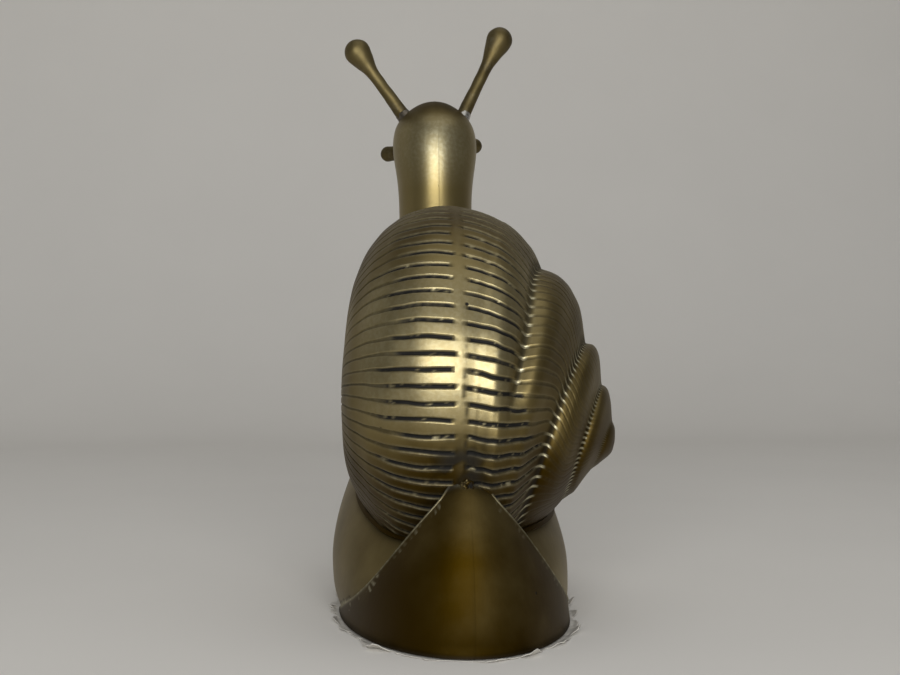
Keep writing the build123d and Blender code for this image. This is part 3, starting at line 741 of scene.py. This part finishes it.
    # Grooves of the right casting stay nearly level at the rear, although the whorls drop
    groove_middle = add(tree, MATH, PLUS, [groove_number, 0.5])
    groove_turn = add(tree, MATH, PLUS, [groove_middle, waved_part])
    even_turn = add(tree, MATH, {"operation": "DIVIDE"}, [groove_turn, count])
    even_angle = add(tree, MATH, TIMES, [even_turn, 2 * math.pi])
    even_cosine = add(tree, MATH, {"operation": "COSINE"}, [even_angle])
    thin_rise = add(tree, MATH, {"operation": "MAXIMUM"}, [rise_share, 0.05])
    steep = add(tree, MATH, {"operation": "DIVIDE"}, [drop_share, thin_rise])
    slip_most = add(tree, MATH, {"operation": "MINIMUM"}, [steep, 0.4])
    slip_share = add(tree, RANGE, SMOOTH, [whorl, 1.6, 2.4, 0.7, 0.0])
    slip = add(tree, MATH, TIMES, [slip_most, slip_share])
    squared = add(tree, MATH, TIMES, [even_cosine, even_cosine])
    from_poles = add(tree, MATH, TIMES_PLUS, [squared, -1.0, 1.0])
    slipped = add(tree, MATH, TIMES_PLUS, [slip, from_poles, even_cosine])
    half_angle = add(tree, MATH, {"operation": "ARCCOSINE"}, [slipped])
    rear_angle = add(tree, MATH, TIMES_PLUS, [half_angle, -1.0, 2 * math.pi])
    front_side = add(tree, MATH, {"operation": "LESS_THAN"}, [even_turn, 0.5])
    angle = add(tree, MIX, {}, {0: front_side, 2: rear_angle, 3: half_angle})
    turned = add(tree, MATH, TIMES, [angle, 0.5 / math.pi])

    # Whorls bulge between the sutures of the spiral, least on the underside
    sine = add(tree, MATH, {"operation": "SINE"}, [angle])
    cosine = add(tree, MATH, {"operation": "COSINE"}, [angle])
    above_sole = add(tree, RANGE, SMOOTH, [turned, 0.5, 0.6, 0.0, 1.0])
    straight = add(tree, MATH, MINUS, [add(tree, MATH, MINUS, [whorl, turned]), front_side])
    # The first suture bends towards the spire on its way down the rear
    way_down = add(tree, MATH, TIMES, [add(tree, RANGE, SMOOTH, [turned, 0.79, 0.95, 0.24, 0.0]), above_sole])
    near_first = add(tree, RANGE, SMOOTH, [straight, 0.0, 0.9, 1.0, 0.0])
    bend = add(tree, MATH, TIMES, [way_down, near_first])
    past = add(tree, MATH, MINUS, [straight, bend])
    spiral = add(tree, MATH, TIMES, [past, math.pi])
    # Where a whorl hardly bulges yet, its suture starts without a crease
    wave = add(tree, MATH, {"operation": "SINE"}, [spiral])
    mirrored = add(tree, MATH, TIMES, [wave, -1.0])
    eased = add(tree, RANGE, SMOOTH, [bulge_share, 0.015, 0.06, 1.0, 0.0])
    arch = add(tree, MATH, {"operation": "SMOOTH_MAX"}, [wave, mirrored, eased])
    fade = add(tree, RANGE, SMOOTH, [cosine, -1.0, 0.0, 0.25, 1.0])
    # The first suture closes low on the rear, where the grooves run on to the next one
    lower = add(tree, RANGE, SMOOTH, [turned, 0.73, 0.80, 1.0, 0.0])
    first = add(tree, MATH, {"operation": "LESS_THAN"}, [past, 0.5])
    closing = add(tree, MATH, TIMES, [add(tree, MATH, TIMES, [lower, above_sole]), first])
    soft_arch = add(tree, MATH, {"operation": "SMOOTH_MAX"}, [arch, 0.9, 0.2])
    full_arch = add(tree, MIX, {}, {0: closing, 2: arch, 3: soft_arch})
    swell = add(tree, MATH, TIMES, [add(tree, MATH, TIMES, [bulge_share, full_arch]), fade])
    reach = add(tree, MATH, TIMES, [add(tree, MATH, PLUS, [depth_share, swell]), radius])
    ahead = add(tree, MATH, TIMES, [reach, sine])
    rise = add(tree, MATH, TIMES, [add(tree, MATH, PLUS, [rise_share, swell]), radius])
    up = add(tree, MATH, TIMES, [rise, cosine])
    drop = add(tree, MATH, TIMES, [drop_share, radius])
    level = add(tree, MATH, PLUS, [add(tree, MATH, MINUS, [given["Axis level"], drop]), up])
    tilt = add(tree, MATH, TIMES, [tilt_share, given["Whorl tilt"]])
    tilted = add(tree, MATH, {"operation": "TANGENT"}, [tilt])
    leaning = add(tree, MATH, TIMES_PLUS, [up, tilted, across])
    flat_place = add(tree, "ShaderNodeCombineXYZ", {}, [leaning, ahead, level])
    back = add(tree, MATH, TIMES, [given["Sweep"], -1.0])
    swept = add(
        tree, "ShaderNodeVectorRotate", {"rotation_type": "Z_AXIS"},
        {"Vector": flat_place, "Angle": back},
    )
    behind = add(tree, MATH, TIMES, [given["Set back"], -1.0])
    shift = add(tree, "ShaderNodeCombineXYZ", {}, [0.0, behind, 0.0])
    place = add(tree, "ShaderNodeVectorMath", PLUS, [swept, shift])

    # Distance from the seam, and the random make of each groove
    unturned = add(
        tree, "ShaderNodeVectorRotate", {"rotation_type": "Z_AXIS"},
        {"Vector": swept, "Angle": given["Seam turn"]},
    )
    from_seam = add(tree, "ShaderNodeSeparateXYZ", {}, [unturned]).outputs["X"]
    aside = add(tree, MATH, {"operation": "ABSOLUTE"}, [from_seam])
    leftward = add(tree, MATH, {"operation": "LESS_THAN"}, [from_seam, 0.0])
    sided = add(tree, MATH, TIMES_PLUS, [leftward, 500.0, groove_number])
    number = add(tree, "FunctionNodeFloatToInt", {}, [sided])
    length_chance = add(
        tree, "FunctionNodeRandomValue", {"data_type": "FLOAT"}, {7: number, 8: given["Seed"]}
    ).outputs[1]
    next_seed = add(tree, MATH, PLUS, [given["Seed"], 1.0])
    depth_chance = add(
        tree, "FunctionNodeRandomValue", {"data_type": "FLOAT"}, {7: number, 8: next_seed}
    ).outputs[1]

    # Full depth near the seam, thin further off, nothing on the seam band
    seam_half = add(tree, MATH, TIMES, [given["Seam width"], 0.5])
    start = add(tree, MATH, TIMES_PLUS, [length_chance, 1.3 * MM, add(tree, MATH, TIMES, [seam_half, 0.65])])
    full = add(tree, MATH, PLUS, [start, 0.7 * MM])
    opening = add(tree, RANGE, SMOOTH, [aside, start, full, 0.0, 1.0])
    left_end = add(tree, MATH, TIMES_PLUS, [length_chance, 12 * MM, 17 * MM])
    left_gone = add(tree, MATH, PLUS, [left_end, 9 * MM])
    left_strong = add(tree, RANGE, SMOOTH, [aside, left_end, left_gone, 1.0, 0.42])
    past_last = add(tree, MATH, MINUS, [past, lower])
    right_strong = add(tree, RANGE, SMOOTH, [past_last, -0.05, 0.06, 1.0, 0.28])
    right_last = add(tree, RANGE, SMOOTH, [past, 0.85, 1.1, 1.0, 0.3])
    right_both = add(tree, MATH, TIMES, [right_strong, right_last])
    strong = add(tree, MIX, {}, {0: leftward, 2: right_both, 3: left_strong})
    room = add(tree, RANGE, SMOOTH, [pitch, 0.8 * MM, 3.0 * MM, 0.0, 1.0])

    # Depth of a groove, uneven along its length
    wobble = add(tree, "ShaderNodeTexNoise", {}, {"Vector": place, "Scale": 1 / (9 * MM), "Detail": 1.0})
    uneven = add(tree, "ShaderNodeTexNoise", {}, {"Vector": place, "Scale": 1 / (2.5 * MM), "Detail": 1.0})
    trough = add(tree, RANGE, {}, [step, 1.0, 2.0, 1.0, 0.0])
    open_strong = add(tree, MATH, TIMES, [opening, strong])
    roomy = add(tree, MATH, TIMES, [open_strong, room])
    some = add(tree, MATH, TIMES_PLUS, [depth_chance, 0.5, 0.65])
    chipped = add(tree, MATH, TIMES_PLUS, [uneven, 0.7, 0.6])
    strength = add(tree, MATH, TIMES, [add(tree, MATH, TIMES, [some, chipped]), roomy])
    cut = add(tree, MATH, TIMES, [trough, strength])

    # Seam ridge, a crack along its lower half, dark sutures and an uneven hand finish
    ridge = add(tree, RANGE, SMOOTH, [aside, 0.0, seam_half, 0.12 * MM, 0.0])
    finish = add(tree, "ShaderNodeTexNoise", {}, {"Vector": place, "Scale": 1 / (24 * MM), "Detail": 2.0})
    hand = add(tree, MATH, TIMES, [add(tree, MATH, MINUS, [finish, 0.9]), 0.9 * MM])
    raised = add(tree, MATH, PLUS, [ridge, hand])
    depth = add(tree, MATH, TIMES, [given["Groove depth"], -1.0])
    lift = add(tree, MATH, TIMES_PLUS, [cut, depth, raised])
    crack_off = add(tree, MATH, TIMES_PLUS, [add(tree, MATH, MINUS, [wobble, 0.5]), 3.4 * MM, from_seam])
    crack_at = add(tree, MATH, {"operation": "ABSOLUTE"}, [add(tree, MATH, MINUS, [crack_off, 1.2 * MM])])
    crack = add(tree, RANGE, SMOOTH, [crack_at, 0.2 * MM, 0.9 * MM, 1.0, 0.0])
    low_half = add(tree, RANGE, SMOOTH, [level, 0.085, 0.125, 0.8, 0.0])
    cracked = add(tree, MATH, TIMES, [crack, add(tree, MATH, TIMES, [low_half, add(tree, RANGE, SMOOTH, [uneven, 0.4, 0.6, 0.0, 1.0])])])
    crease = add(tree, RANGE, SMOOTH, [full_arch, 0.02, 0.28, 0.75, 0.0])
    whorled = add(tree, RANGE, SMOOTH, [bulge_share, 0.03, 0.07, 0.0, 1.0])
    suture = add(tree, MATH, TIMES, [crease, whorled])
    # Painted glints at the notches where grooves meet a suture and on chips in the grooves; they clear the black from
    # those spots
    at_suture = add(tree, RANGE, SMOOTH, [full_arch, 0.04, 0.34, 1.0, 0.0])
    notch_glints = add(tree, MATH, TIMES, [add(tree, MATH, TIMES, [at_suture, whorled]), trough])
    dark_cut = add(tree, MATH, {"operation": "MULTIPLY", "use_clamp": True}, [cut, 1.5])
    dark = add(tree, MATH, {"operation": "MAXIMUM"}, [dark_cut, suture])
    darkest = add(tree, MATH, {"operation": "MAXIMUM"}, [dark, cracked])
    chip_here = add(tree, RANGE, SMOOTH, [uneven, 0.62, 0.7, 0.0, 0.6])
    chip = add(tree, MATH, TIMES, [add(tree, MATH, TIMES, [chip_here, trough]), roomy])
    bright = add(tree, MATH, {"operation": "MAXIMUM"}, [notch_glints, chip])
    bare = add(tree, MATH, TIMES_PLUS, [bright, -1.0, 1.0])
    # Black patch either side of the foot of the seam
    patch_low = add(tree, RANGE, SMOOTH, [level, 0.050, 0.060, 0.0, 1.0])
    patch_high = add(tree, RANGE, SMOOTH, [level, 0.068, 0.084, 1.0, 0.0])
    patch_wide = add(tree, RANGE, SMOOTH, [aside, 3 * MM, 17 * MM, 0.9, 0.0])
    patch_level = add(tree, MATH, TIMES, [patch_low, patch_high])
    patch_noise = add(tree, RANGE, SMOOTH, [wobble, 0.38, 0.58, 0.0, 1.0])
    patch_all = add(tree, MATH, TIMES, [add(tree, MATH, TIMES, [patch_level, patch_wide]), patch_noise])
    patch = add(tree, MATH, TIMES, [patch_all, add(tree, MATH, {"operation": "LESS_THAN"}, [sine, 0.0])])
    blackened = add(tree, MATH, {"operation": "MAXIMUM"}, [darkest, patch])
    grime_and_shade = add(tree, MATH, TIMES, [blackened, bare])
    # Painted glints along the lips of the grooves; the filed seam band is a little brighter
    lip = add(tree, RANGE, {}, [step, 2.0, 4.0, 0.3, 0.0])
    lip_glints = add(tree, MATH, TIMES, [lip, roomy])
    band = add(tree, RANGE, SMOOTH, [aside, 0.0, seam_half, 0.06, 0.0])
    rubbed = add(tree, MATH, {"operation": "MAXIMUM"}, [lip_glints, band])
    band_wear_and_glints = add(tree, MATH, {"operation": "MAXIMUM"}, [rubbed, bright])

    # Painted light: the skin is paler round the middle band of the shell as a painted highlight, and darker towards
    # the crown and the two sides as painted shade; the palest part turns towards the rubbed-bright colour
    tone_up = add(tree, RANGE, SMOOTH, [level, 0.05, 0.10, 0.08, 0.95])
    tone_down = add(tree, RANGE, SMOOTH, [level, 0.118, 0.165, 1.0, 0.3])
    tone_left = add(tree, RANGE, SMOOTH, [across, -42 * MM, -22 * MM, 0.35, 1.0])
    tone_right = add(tree, RANGE, SMOOTH, [across, 16 * MM, 40 * MM, 1.0, 0.45])
    tone_side = add(tree, MATH, TIMES, [tone_left, tone_right])
    tone = add(tree, MATH, TIMES, [add(tree, MATH, TIMES, [tone_up, tone_down]), tone_side])
    painted_highlight = add(tree, RANGE, SMOOTH, [tone, 0.5, 0.95, 0.0, 0.3])
    wear_and_highlight = add(tree, MATH, {"operation": "MAXIMUM"}, [band_wear_and_glints, painted_highlight])

    kept = grid
    for name, value in (("grime_and_shade", grime_and_shade), ("wear_and_highlight", wear_and_highlight), ("tone", tone), ("lift", lift)):
        kept = add(
            tree, "GeometryNodeStoreNamedAttribute", {"data_type": "FLOAT", "domain": "POINT"},
            {"Geometry": kept, "Name": name, "Value": value},
        )
    coiled = add(tree, "GeometryNodeSetPosition", {}, {"Geometry": kept, "Position": place})
    closed = add(tree, "GeometryNodeMergeByDistance", {}, {"Geometry": coiled, "Distance": 0.002 * MM})
    lifted = add(tree, "GeometryNodeInputNamedAttribute", {"data_type": "FLOAT"}, {"Name": "lift"})
    outward = add(
        tree, "ShaderNodeVectorMath", {"operation": "SCALE"},
        {"Vector": tree.nodes.new("GeometryNodeInputNormal"), "Scale": lifted},
    )
    carved = add(tree, "GeometryNodeSetPosition", {}, {"Geometry": closed, "Offset": outward})
    smooth = add(tree, "GeometryNodeSetShadeSmooth", {}, {"Geometry": carved})
    real = add(tree, "GeometryNodeRealizeInstances", {}, {"Geometry": smooth})
    coated = add(tree, "GeometryNodeSetMaterial", {}, {"Geometry": real, "Material": given["Metal"]})
    add(tree, "NodeGroupOutput", {}, [coated])
    return tree


def grown(name, base, tree, inputs):
    """The plain mesh that a geometry tree makes of a base mesh with these inputs."""
    holder = bpy.data.objects.new(name, base)
    bpy.context.scene.collection.objects.link(holder)
    modifier = holder.modifiers.new(name, "NODES")
    modifier.node_group = tree
    for item in tree.interface.items_tree:
        if item.in_out == "INPUT" and item.name in inputs:
            modifier[item.identifier] = inputs[item.name]
    graph = bpy.context.evaluated_depsgraph_get()
    mesh = bpy.data.meshes.new_from_object(holder.evaluated_get(graph))
    holder.modifiers.clear()
    bpy.data.objects.remove(holder)
    if not mesh.polygons:
        raise RuntimeError(f"{name} grew no faces")
    return mesh


class SNAIL_OT_shell(bpy.types.Operator):
    """Coiled shell in two castings with a filed band between them"""

    bl_idname = "snail.shell"
    bl_label = "Shell castings"

    def execute(self, context):
        sizes = context.scene.snail_sizes
        whole = grown(
            "coiled_shell",
            bpy.data.meshes.new("coiled_shell"),
            shell_tree(),
            {
                "Shell radius": sizes.shell_radius,
                "Left reach": sizes.shell_left_reach,
                "Spire reach": sizes.spire_reach,
                "Axis level": SOLE + sizes.shell_axis_height,
                "Set back": sizes.shell_set_back,
                "Sweep": sizes.shell_sweep,
                "Whorl tilt": sizes.whorl_tilt,
                "Seam turn": sizes.shell_seam_turn,
                "Seam width": sizes.shell_seam_width,
                "Groove width": sizes.groove_width,
                "Groove depth": sizes.groove_depth,
                "Grooves": sizes.groove_count,
                "Seed": 7,
                "Metal": finish_of("Browned cast brass"),
            },
        )
        form = bmesh.new()
        form.from_mesh(whole)
        bmesh.ops.recalc_face_normals(form, faces=form.faces)
        form.to_mesh(whole)
        form.free()
        across = Vector((math.cos(sizes.shell_seam_turn), -math.sin(sizes.shell_seam_turn), 0))
        middle = Vector((0, -sizes.shell_set_back, 0))
        half = across * sizes.shell_seam_width / 2
        cast, filed = "Browned cast brass", "Browned brass with file marks"
        snap = 0.2 * MM
        left = cut_out(whole, "shell_left", [(middle - half, across)], snap)
        right = cut_out(whole, "shell_right", [(middle + half, -across)], snap)
        planes = [(middle - half, -across), (middle + half, across)]
        band = cut_out(whole, "shell_seam", planes, snap)
        place_piece("shell_left_casting", left, cast, "patinated_brass", "shell_left")
        place_piece("shell_right_casting", right, cast, "patinated_brass", "shell_right")
        place_piece("shell_seam_band", band, filed, "seam_brass", "shell_seam")
        bpy.data.meshes.remove(whole)
        return {"FINISHED"}


# Roots of the tentacles and feelers: side, share out, share forward, share of the height, then
# the lean outwards in degrees and the length of a tentacle in millimetres
TENTACLES = {
    "left": (-1, 0.290, 0.894, 0.964, 35.3, 40.6),
    "right": (1, 0.266, 0.894, 0.964, 26.0, 45.4),
}
FEELERS = {"left": (-1, 0.304, 0.963, 0.898), "right": (1, 0.304, 0.963, 0.918)}

# Solder at each root: share of its full size, and how far it is browned over
SOLDERED = {
    "tentacle_collar_left": (0.6, 0.8),
    "tentacle_collar_right": (0.8, 0.05),
    "feeler_collar_left": (0.6, 0.9),
    "feeler_collar_right": (0.6, 0.9),
}


def root_of(side, out, forward, rise):
    """Where a tentacle or feeler leaves the head."""
    sizes = bpy.context.scene.snail_sizes
    long = sizes.tail_reach + sizes.face_reach
    ahead = forward * long - sizes.tail_reach
    return Vector((side * out * sizes.foot_half_width, ahead, SOLE + rise * sizes.body_height))


def tentacle_way(side, lean):
    """The way a tentacle points."""
    return Vector((side * math.tan(math.radians(lean)), math.tan(math.radians(9)), 1)).normalized()


def feeler_way(side):
    """The way a feeler points."""
    return Vector((side * math.cos(math.radians(41)), math.sin(math.radians(41)), 0))


def turned_form(name, root, way, profile, uneven, ring):
    """A form turned about an axis from a profile of places along it and radii, a little uneven.
    A ring's profile closes on itself, and any other one ends on the axis."""
    around = 56
    side = way.orthogonal().normalized()
    other = way.cross(side)
    points = []
    for along, radius in profile:
        for step in range(around):
            angle = 2 * math.pi * step / around
            out = math.cos(angle) * side + math.sin(angle) * other
            spot = root + way * along + out * radius
            swell = noise.noise(spot / (5 * MM)) * uneven if radius > 0.05 * MM else 0
            points.append(spot + out * swell)
    faces = grid_faces(len(profile), around, 0, True)
    if ring:
        last = (len(profile) - 1) * around
        for step in range(around):
            ahead = (step + 1) % around
            faces.append((last + step, last + ahead, ahead, step))
    return closed_mesh(name, points, faces)


class SNAIL_OT_tentacles(bpy.types.Operator):
    """Long tentacles with ball ends and short round feelers"""

    bl_idname = "snail.tentacles"
    bl_label = "Tentacles and feelers"

    def execute(self, context):
        sizes = context.scene.snail_sizes
        for name, (side, out, forward, rise, lean, long) in TENTACLES.items():
            long *= MM
            ball, rod = sizes.ball_radius, sizes.rod_radius
            shape = (
                (-4 * MM, rod),
                (0.11 * long, rod),
                (0.30 * long, 0.93 * rod),
                (0.50 * long, 0.88 * rod),
                (0.64 * long, 0.92 * rod),
                (0.74 * long, 0.56 * ball),
                (0.88 * long, 0.82 * ball),
                (0.97 * long, 0.97 * ball),
            )
            profile = [(-4 * MM, 0.0)] + [tuple(r) for r in smooth_rows(shape, 60, (1, 1))]
            for step in range(1, 17):
                angle = math.pi / 2 * step / 16
                profile.append((long + ball * math.sin(angle) * 0.985, ball * math.cos(angle) * 0.99))
            profile[-1] = (profile[-1][0], 0.0)
            mesh = turned_form(
                f"tentacle_{name}", root_of(side, out, forward, rise), tentacle_way(side, lean),
                profile, 0.22 * MM, False,
            )
            self.dress(mesh, 0.06)
            place_piece(
                f"tentacle_{name}_rod", mesh, "Browned cast brass", "patinated_brass", f"tentacle_{name}"
            )
        for name, (side, out, forward, rise) in FEELERS.items():
            wide, long = sizes.feeler_radius * 0.98, sizes.feeler_length
            shape = ((-5 * MM, wide), (0.3 * long, 0.93 * wide), (0.7 * long, 0.95 * wide), (long, wide))
            profile = [(-5 * MM, 0.0)] + [tuple(r) for r in smooth_rows(shape, 24, (1, 1))]
            for step in range(1, 15):
                angle = math.pi / 2 * step / 14
                profile.append((long + wide * math.sin(angle), wide * math.cos(angle)))
            profile[-1] = (profile[-1][0], 0.0)
            mesh = turned_form(
                f"feeler_{name}", root_of(side, out, forward, rise), feeler_way(side),
                profile, 0.15 * MM, False,
            )
            self.dress(mesh, 0.06)
            place_piece(
                f"feeler_{name}_stub", mesh, "Browned cast brass", "patinated_brass", f"feeler_{name}"
            )
        return {"FINISHED"}

    def dress(self, mesh, rub):
        """Patches of dirt and rubbed metal on a small casting."""
        patches = np.array([noise.noise(Vector(p) / (9 * MM)) for p in points_of(mesh)])
        store(mesh, "grime_and_shade", 0.25 + 0.4 * patches)
        store(mesh, "wear_and_highlight", rub + np.clip(-patches, 0, 1) * 0.3)
        store(mesh, "tone", 0.42 + 0.6 * patches)


class SNAIL_OT_solder(bpy.types.Operator):
    """Lumpy silver solder round the roots of the tentacles and feelers"""

    bl_idname = "snail.solder"
    bl_label = "Solder at the roots"

    def execute(self, context):
        sizes = context.scene.snail_sizes
        roots = {}
        for name, (side, out, forward, rise, lean, _) in TENTACLES.items():
            way = tentacle_way(side, lean)
            roots[f"tentacle_collar_{name}"] = (root_of(side, out, forward, rise), way, sizes.rod_radius)
        for name, (side, out, forward, rise) in FEELERS.items():
            root = root_of(side, out, forward, rise)
            roots[f"feeler_collar_{name}"] = (root, feeler_way(side), sizes.feeler_radius)
        for name, (root, way, inner) in roots.items():
            full, browned = SOLDERED[name]
            leg, high = sizes.solder_leg * full, sizes.solder_height * full
            profile = [(-6 * MM, inner - 0.6 * MM)]
            for step in range(13):
                share = step / 12
                along = -6 * MM + (6 * MM + high) * share
                spread = leg if share < 0.35 else leg * (1 - ((share - 0.35) / 0.65)) ** 1.6
                profile.append((along, inner + spread + 0.12 * MM))
            profile.append((high, inner - 0.6 * MM))
            mesh = turned_form(f"{name}_solder", root, way, profile, 0.8 * MM, True)
            store(mesh, "grime_and_shade", np.full(len(mesh.vertices), browned))
            place_piece(f"{name}_solder", mesh, "Flowed silver solder", "silver_solder", name)
        return {"FINISHED"}


class SNAIL_OT_braze(bpy.types.Operator):
    """Braze in the corner between shell and body, and its lump at the tip of the tail"""

    bl_idname = "snail.braze"
    bl_label = "Braze at the shell"

    def execute(self, context):
        filed = "Browned brass with file marks"
        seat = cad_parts["shell_seat"]
        seat.data.materials.clear()
        seat.data.materials.append(finish_of(filed))
        low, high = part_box("tail_braze")
        middle, half = (low + high) / 2, (high - low) / 2
        mesh = bpy.data.meshes.new("tail_braze_lump")
        form = bmesh.new()
        bmesh.ops.create_icosphere(form, subdivisions=5, radius=1.0)
        for vert in form.verts:
            way = vert.co.normalized()
            lumps = noise.noise(way * 1.7) * 0.35 + noise.noise(way * 4.2) * 0.12
            vert.co = middle + Vector(w * h for w, h in zip(way * (0.75 + lumps), half))
        for face in form.faces:
            face.smooth = True
        form.to_mesh(mesh)
        form.free()
        patches = np.array([noise.noise(Vector(p) / (2.5 * MM)) for p in points_of(mesh)])
        store(mesh, "grime_and_shade", 0.35 + patches)
        store(mesh, "wear_and_highlight", np.clip(-patches, 0, 1) * 0.3)
        store(mesh, "tone", 0.15 - patches * 0.4)
        place_piece("tail_braze_lump", mesh, filed, "seam_brass", "tail_braze")
        return {"FINISHED"}


class SNAIL_OT_film(bpy.types.Operator):
    """Torn film under the foot, crumpled where it sticks out"""

    bl_idname = "snail.film"
    bl_label = "Torn film"

    def execute(self, context):
        sizes = context.scene.snail_sizes
        thick = sizes.film_thickness
        front = BODY_SLICES[0][3] * (sizes.tail_reach + sizes.face_reach) - sizes.tail_reach
        around, rings = 540, 26
        points = [(0.0, 0.0, 0.25 * MM)]
        for ring in range(1, rings + 1):
            for step in range(around):
                angle = 2 * math.pi * step / around
                ahead, out = math.cos(angle), math.sin(angle)
                spin = Vector((out, ahead, 0)) * 6
                tear = 0.5 + 0.7 * noise.noise(spin * 1.1) + 0.1 * noise.noise(spin * 9)
                # Straight-sided tears between the scraps
                tear -= 0.6 * max(0, 1 - abs(noise.noise(spin * 2.3)) / 0.07)
                # The strip is gone right behind the tail
                tear *= 1 - 0.97 * math.exp(-(((angle - math.pi - 0.16) / 0.2) ** 2))
                strip = sizes.film_overhang * min(max(tear, 0.03), 1.0)
                reach = front if ahead > 0 else sizes.tail_reach
                edge = 0.93
                if ring <= 8:
                    share, over = edge * ring / 8, 0.0
                else:
                    part = (ring - 8) / (rings - 8)
                    share, over = edge + (1 - edge) * min(1, part * 2.5), strip * part
                x = (sizes.tail_half_width * share + over) * out
                y = (reach * share + over) * ahead
                spot = Vector((x, y, 0))
                fold = noise.noise(spot / (9 * MM)) + 0.35 * abs(noise.noise(spot / (3.5 * MM)))
                curl = max(over - 1.5 * MM, 0) / sizes.film_overhang
                lift = curl * (0.9 + 1.8 * fold) * 2.5 * MM
                level = 0.25 * MM + max(lift, 0)
                if share < 1 and over == 0:
                    level = 0.25 * MM
                points.append((x, y, level))
        faces = [(0, 1 + step, 1 + (step + 1) % around) for step in range(around)]
        faces += grid_faces(rings, around, 1, True)
        mesh = bpy.data.meshes.new("torn_film")
        mesh.from_pydata(points, [], faces)
        form = bmesh.new()
        form.from_mesh(mesh)
        bmesh.ops.recalc_face_normals(form, faces=form.faces)
        if sum(face.normal.z * face.calc_area() for face in form.faces) < 0:
            bmesh.ops.reverse_faces(form, faces=form.faces)
        flat_area = sum(face.calc_area() for face in form.faces)
        for face in form.faces:
            face.smooth = True
        form.to_mesh(mesh)
        form.free()
        film = place_piece("torn_film", mesh, "Torn polythene film", "torn_film", "base_liner")
        wall = film.modifiers.new("Film thickness", "SOLIDIFY")
        wall.thickness = thick
        wall.offset = 0
        corners = points_of(mesh)
        return {"FINISHED"}


class SNAIL_OT_stage(bpy.types.Operator):
    """Pale paper sweep, soft lamps and the camera"""

    bl_idname = "snail.stage"
    bl_label = "Stage"

    def execute(self, context):
        scene = context.scene
        profile = [(-4.0, 0.0), (0.9, 0.0)]
        for step in range(1, 25):
            angle = math.pi / 2 * step / 24
            profile.append((0.9 + 0.6 * math.sin(angle), 0.6 - 0.6 * math.cos(angle)))
        profile.append((1.5, 3.0))
        points = [(side * 4.0, y, z) for side in (-1, 1) for y, z in profile]
        sweep = bpy.data.meshes.new("paper_sweep")
        sweep.from_pydata(points, [], grid_faces(2, len(profile), 0, False))
        sweep.materials.append(floor_material())
        for face in sweep.polygons:
            face.use_smooth = True
        floor = bpy.data.objects.new("paper_sweep", sweep)
        scene.collection.objects.link(floor)
        aim = Vector((0, 0, 0.11))
        for name, place, wide, high, watts in (
            ("front_softbox", (-0.12, -1.6, 0.5), 1.3, 0.6, 22.0),
            ("overhead_softbox", (0.2, -0.2, 1.9), 1.8, 1.8, 7.0),
            ("side_softbox", (-1.5, 0.5, 0.9), 1.2, 1.2, 0.8),
        ):
            lamp = bpy.data.lights.new(name, "AREA")
            lamp.shape, lamp.size, lamp.size_y, lamp.energy = "RECTANGLE", wide, high, watts
            stand = bpy.data.objects.new(name, lamp)
            stand.location = place
            stand.rotation_euler = (aim - Vector(place)).to_track_quat("-Z", "Y").to_euler()
            scene.collection.objects.link(stand)
        world = bpy.data.worlds.new("soft_room")
        world.use_nodes = True
        world.node_tree.nodes["Background"].inputs["Color"].default_value = (0.16, 0.16, 0.16, 1)
        scene.world = world
        scene.view_settings.view_transform = "Standard"
        lens = bpy.data.cameras.new("camera")
        lens.lens, lens.sensor_width = 54.08, 36.0
        lens.clip_start, lens.clip_end = 0.01, 20.0
        camera = bpy.data.objects.new("camera", lens)
        heading = math.radians(4.8)
        ahead = Vector((math.sin(heading), math.cos(heading), 0))
        right = Vector((math.cos(heading), -math.sin(heading), 0))
        camera.location = ahead * -0.564 - right * 0.00093 + Vector((0, 0, 0.1124))
        camera.rotation_euler = (ahead + Vector((0, 0, 0.00185))).to_track_quat("-Z", "Y").to_euler()
        scene.collection.objects.link(camera)
        scene.camera = camera
        return {"FINISHED"}


MAKERS = (
    SNAIL_OT_body,
    SNAIL_OT_shell,
    SNAIL_OT_tentacles,
    SNAIL_OT_solder,
    SNAIL_OT_braze,
    SNAIL_OT_film,
    SNAIL_OT_stage,
)


class SNAIL_PT_panel(bpy.types.Panel):
    """Lists the steps that make the snail"""

    bl_idname = "SNAIL_PT_panel"
    bl_label = "Brass snail"
    bl_space_type = "VIEW_3D"
    bl_region_type = "UI"
    bl_category = "Snail"

    def draw(self, context):
        for maker in MAKERS:
            self.layout.operator(maker.bl_idname)
        for group in (context.scene.snail_sizes, context.scene.snail_colours):
            for name in group.__annotations__:
                self.layout.prop(group, name)


CLASSES = (SnailSizes, SnailColours, *MAKERS, SNAIL_PT_panel)


def register():
    """Makes the operators, the panel and the scene's settings known to Blender."""
    for made in CLASSES:
        bpy.utils.register_class(made)
    bpy.types.Scene.snail_sizes = bpy.props.PointerProperty(type=SnailSizes)
    bpy.types.Scene.snail_colours = bpy.props.PointerProperty(type=SnailColours)


def unregister():
    """Takes them away again."""
    del bpy.types.Scene.snail_colours
    del bpy.types.Scene.snail_sizes
    for made in reversed(CLASSES):
        bpy.utils.unregister_class(made)


def main():
    """Builds every piece and the stage."""
    register()
    bpy.ops.snail.body()
    bpy.ops.snail.shell()
    bpy.ops.snail.tentacles()
    bpy.ops.snail.solder()
    bpy.ops.snail.braze()
    bpy.ops.snail.film()
    bpy.ops.snail.stage()


if __name__ == "__main__":
    main()
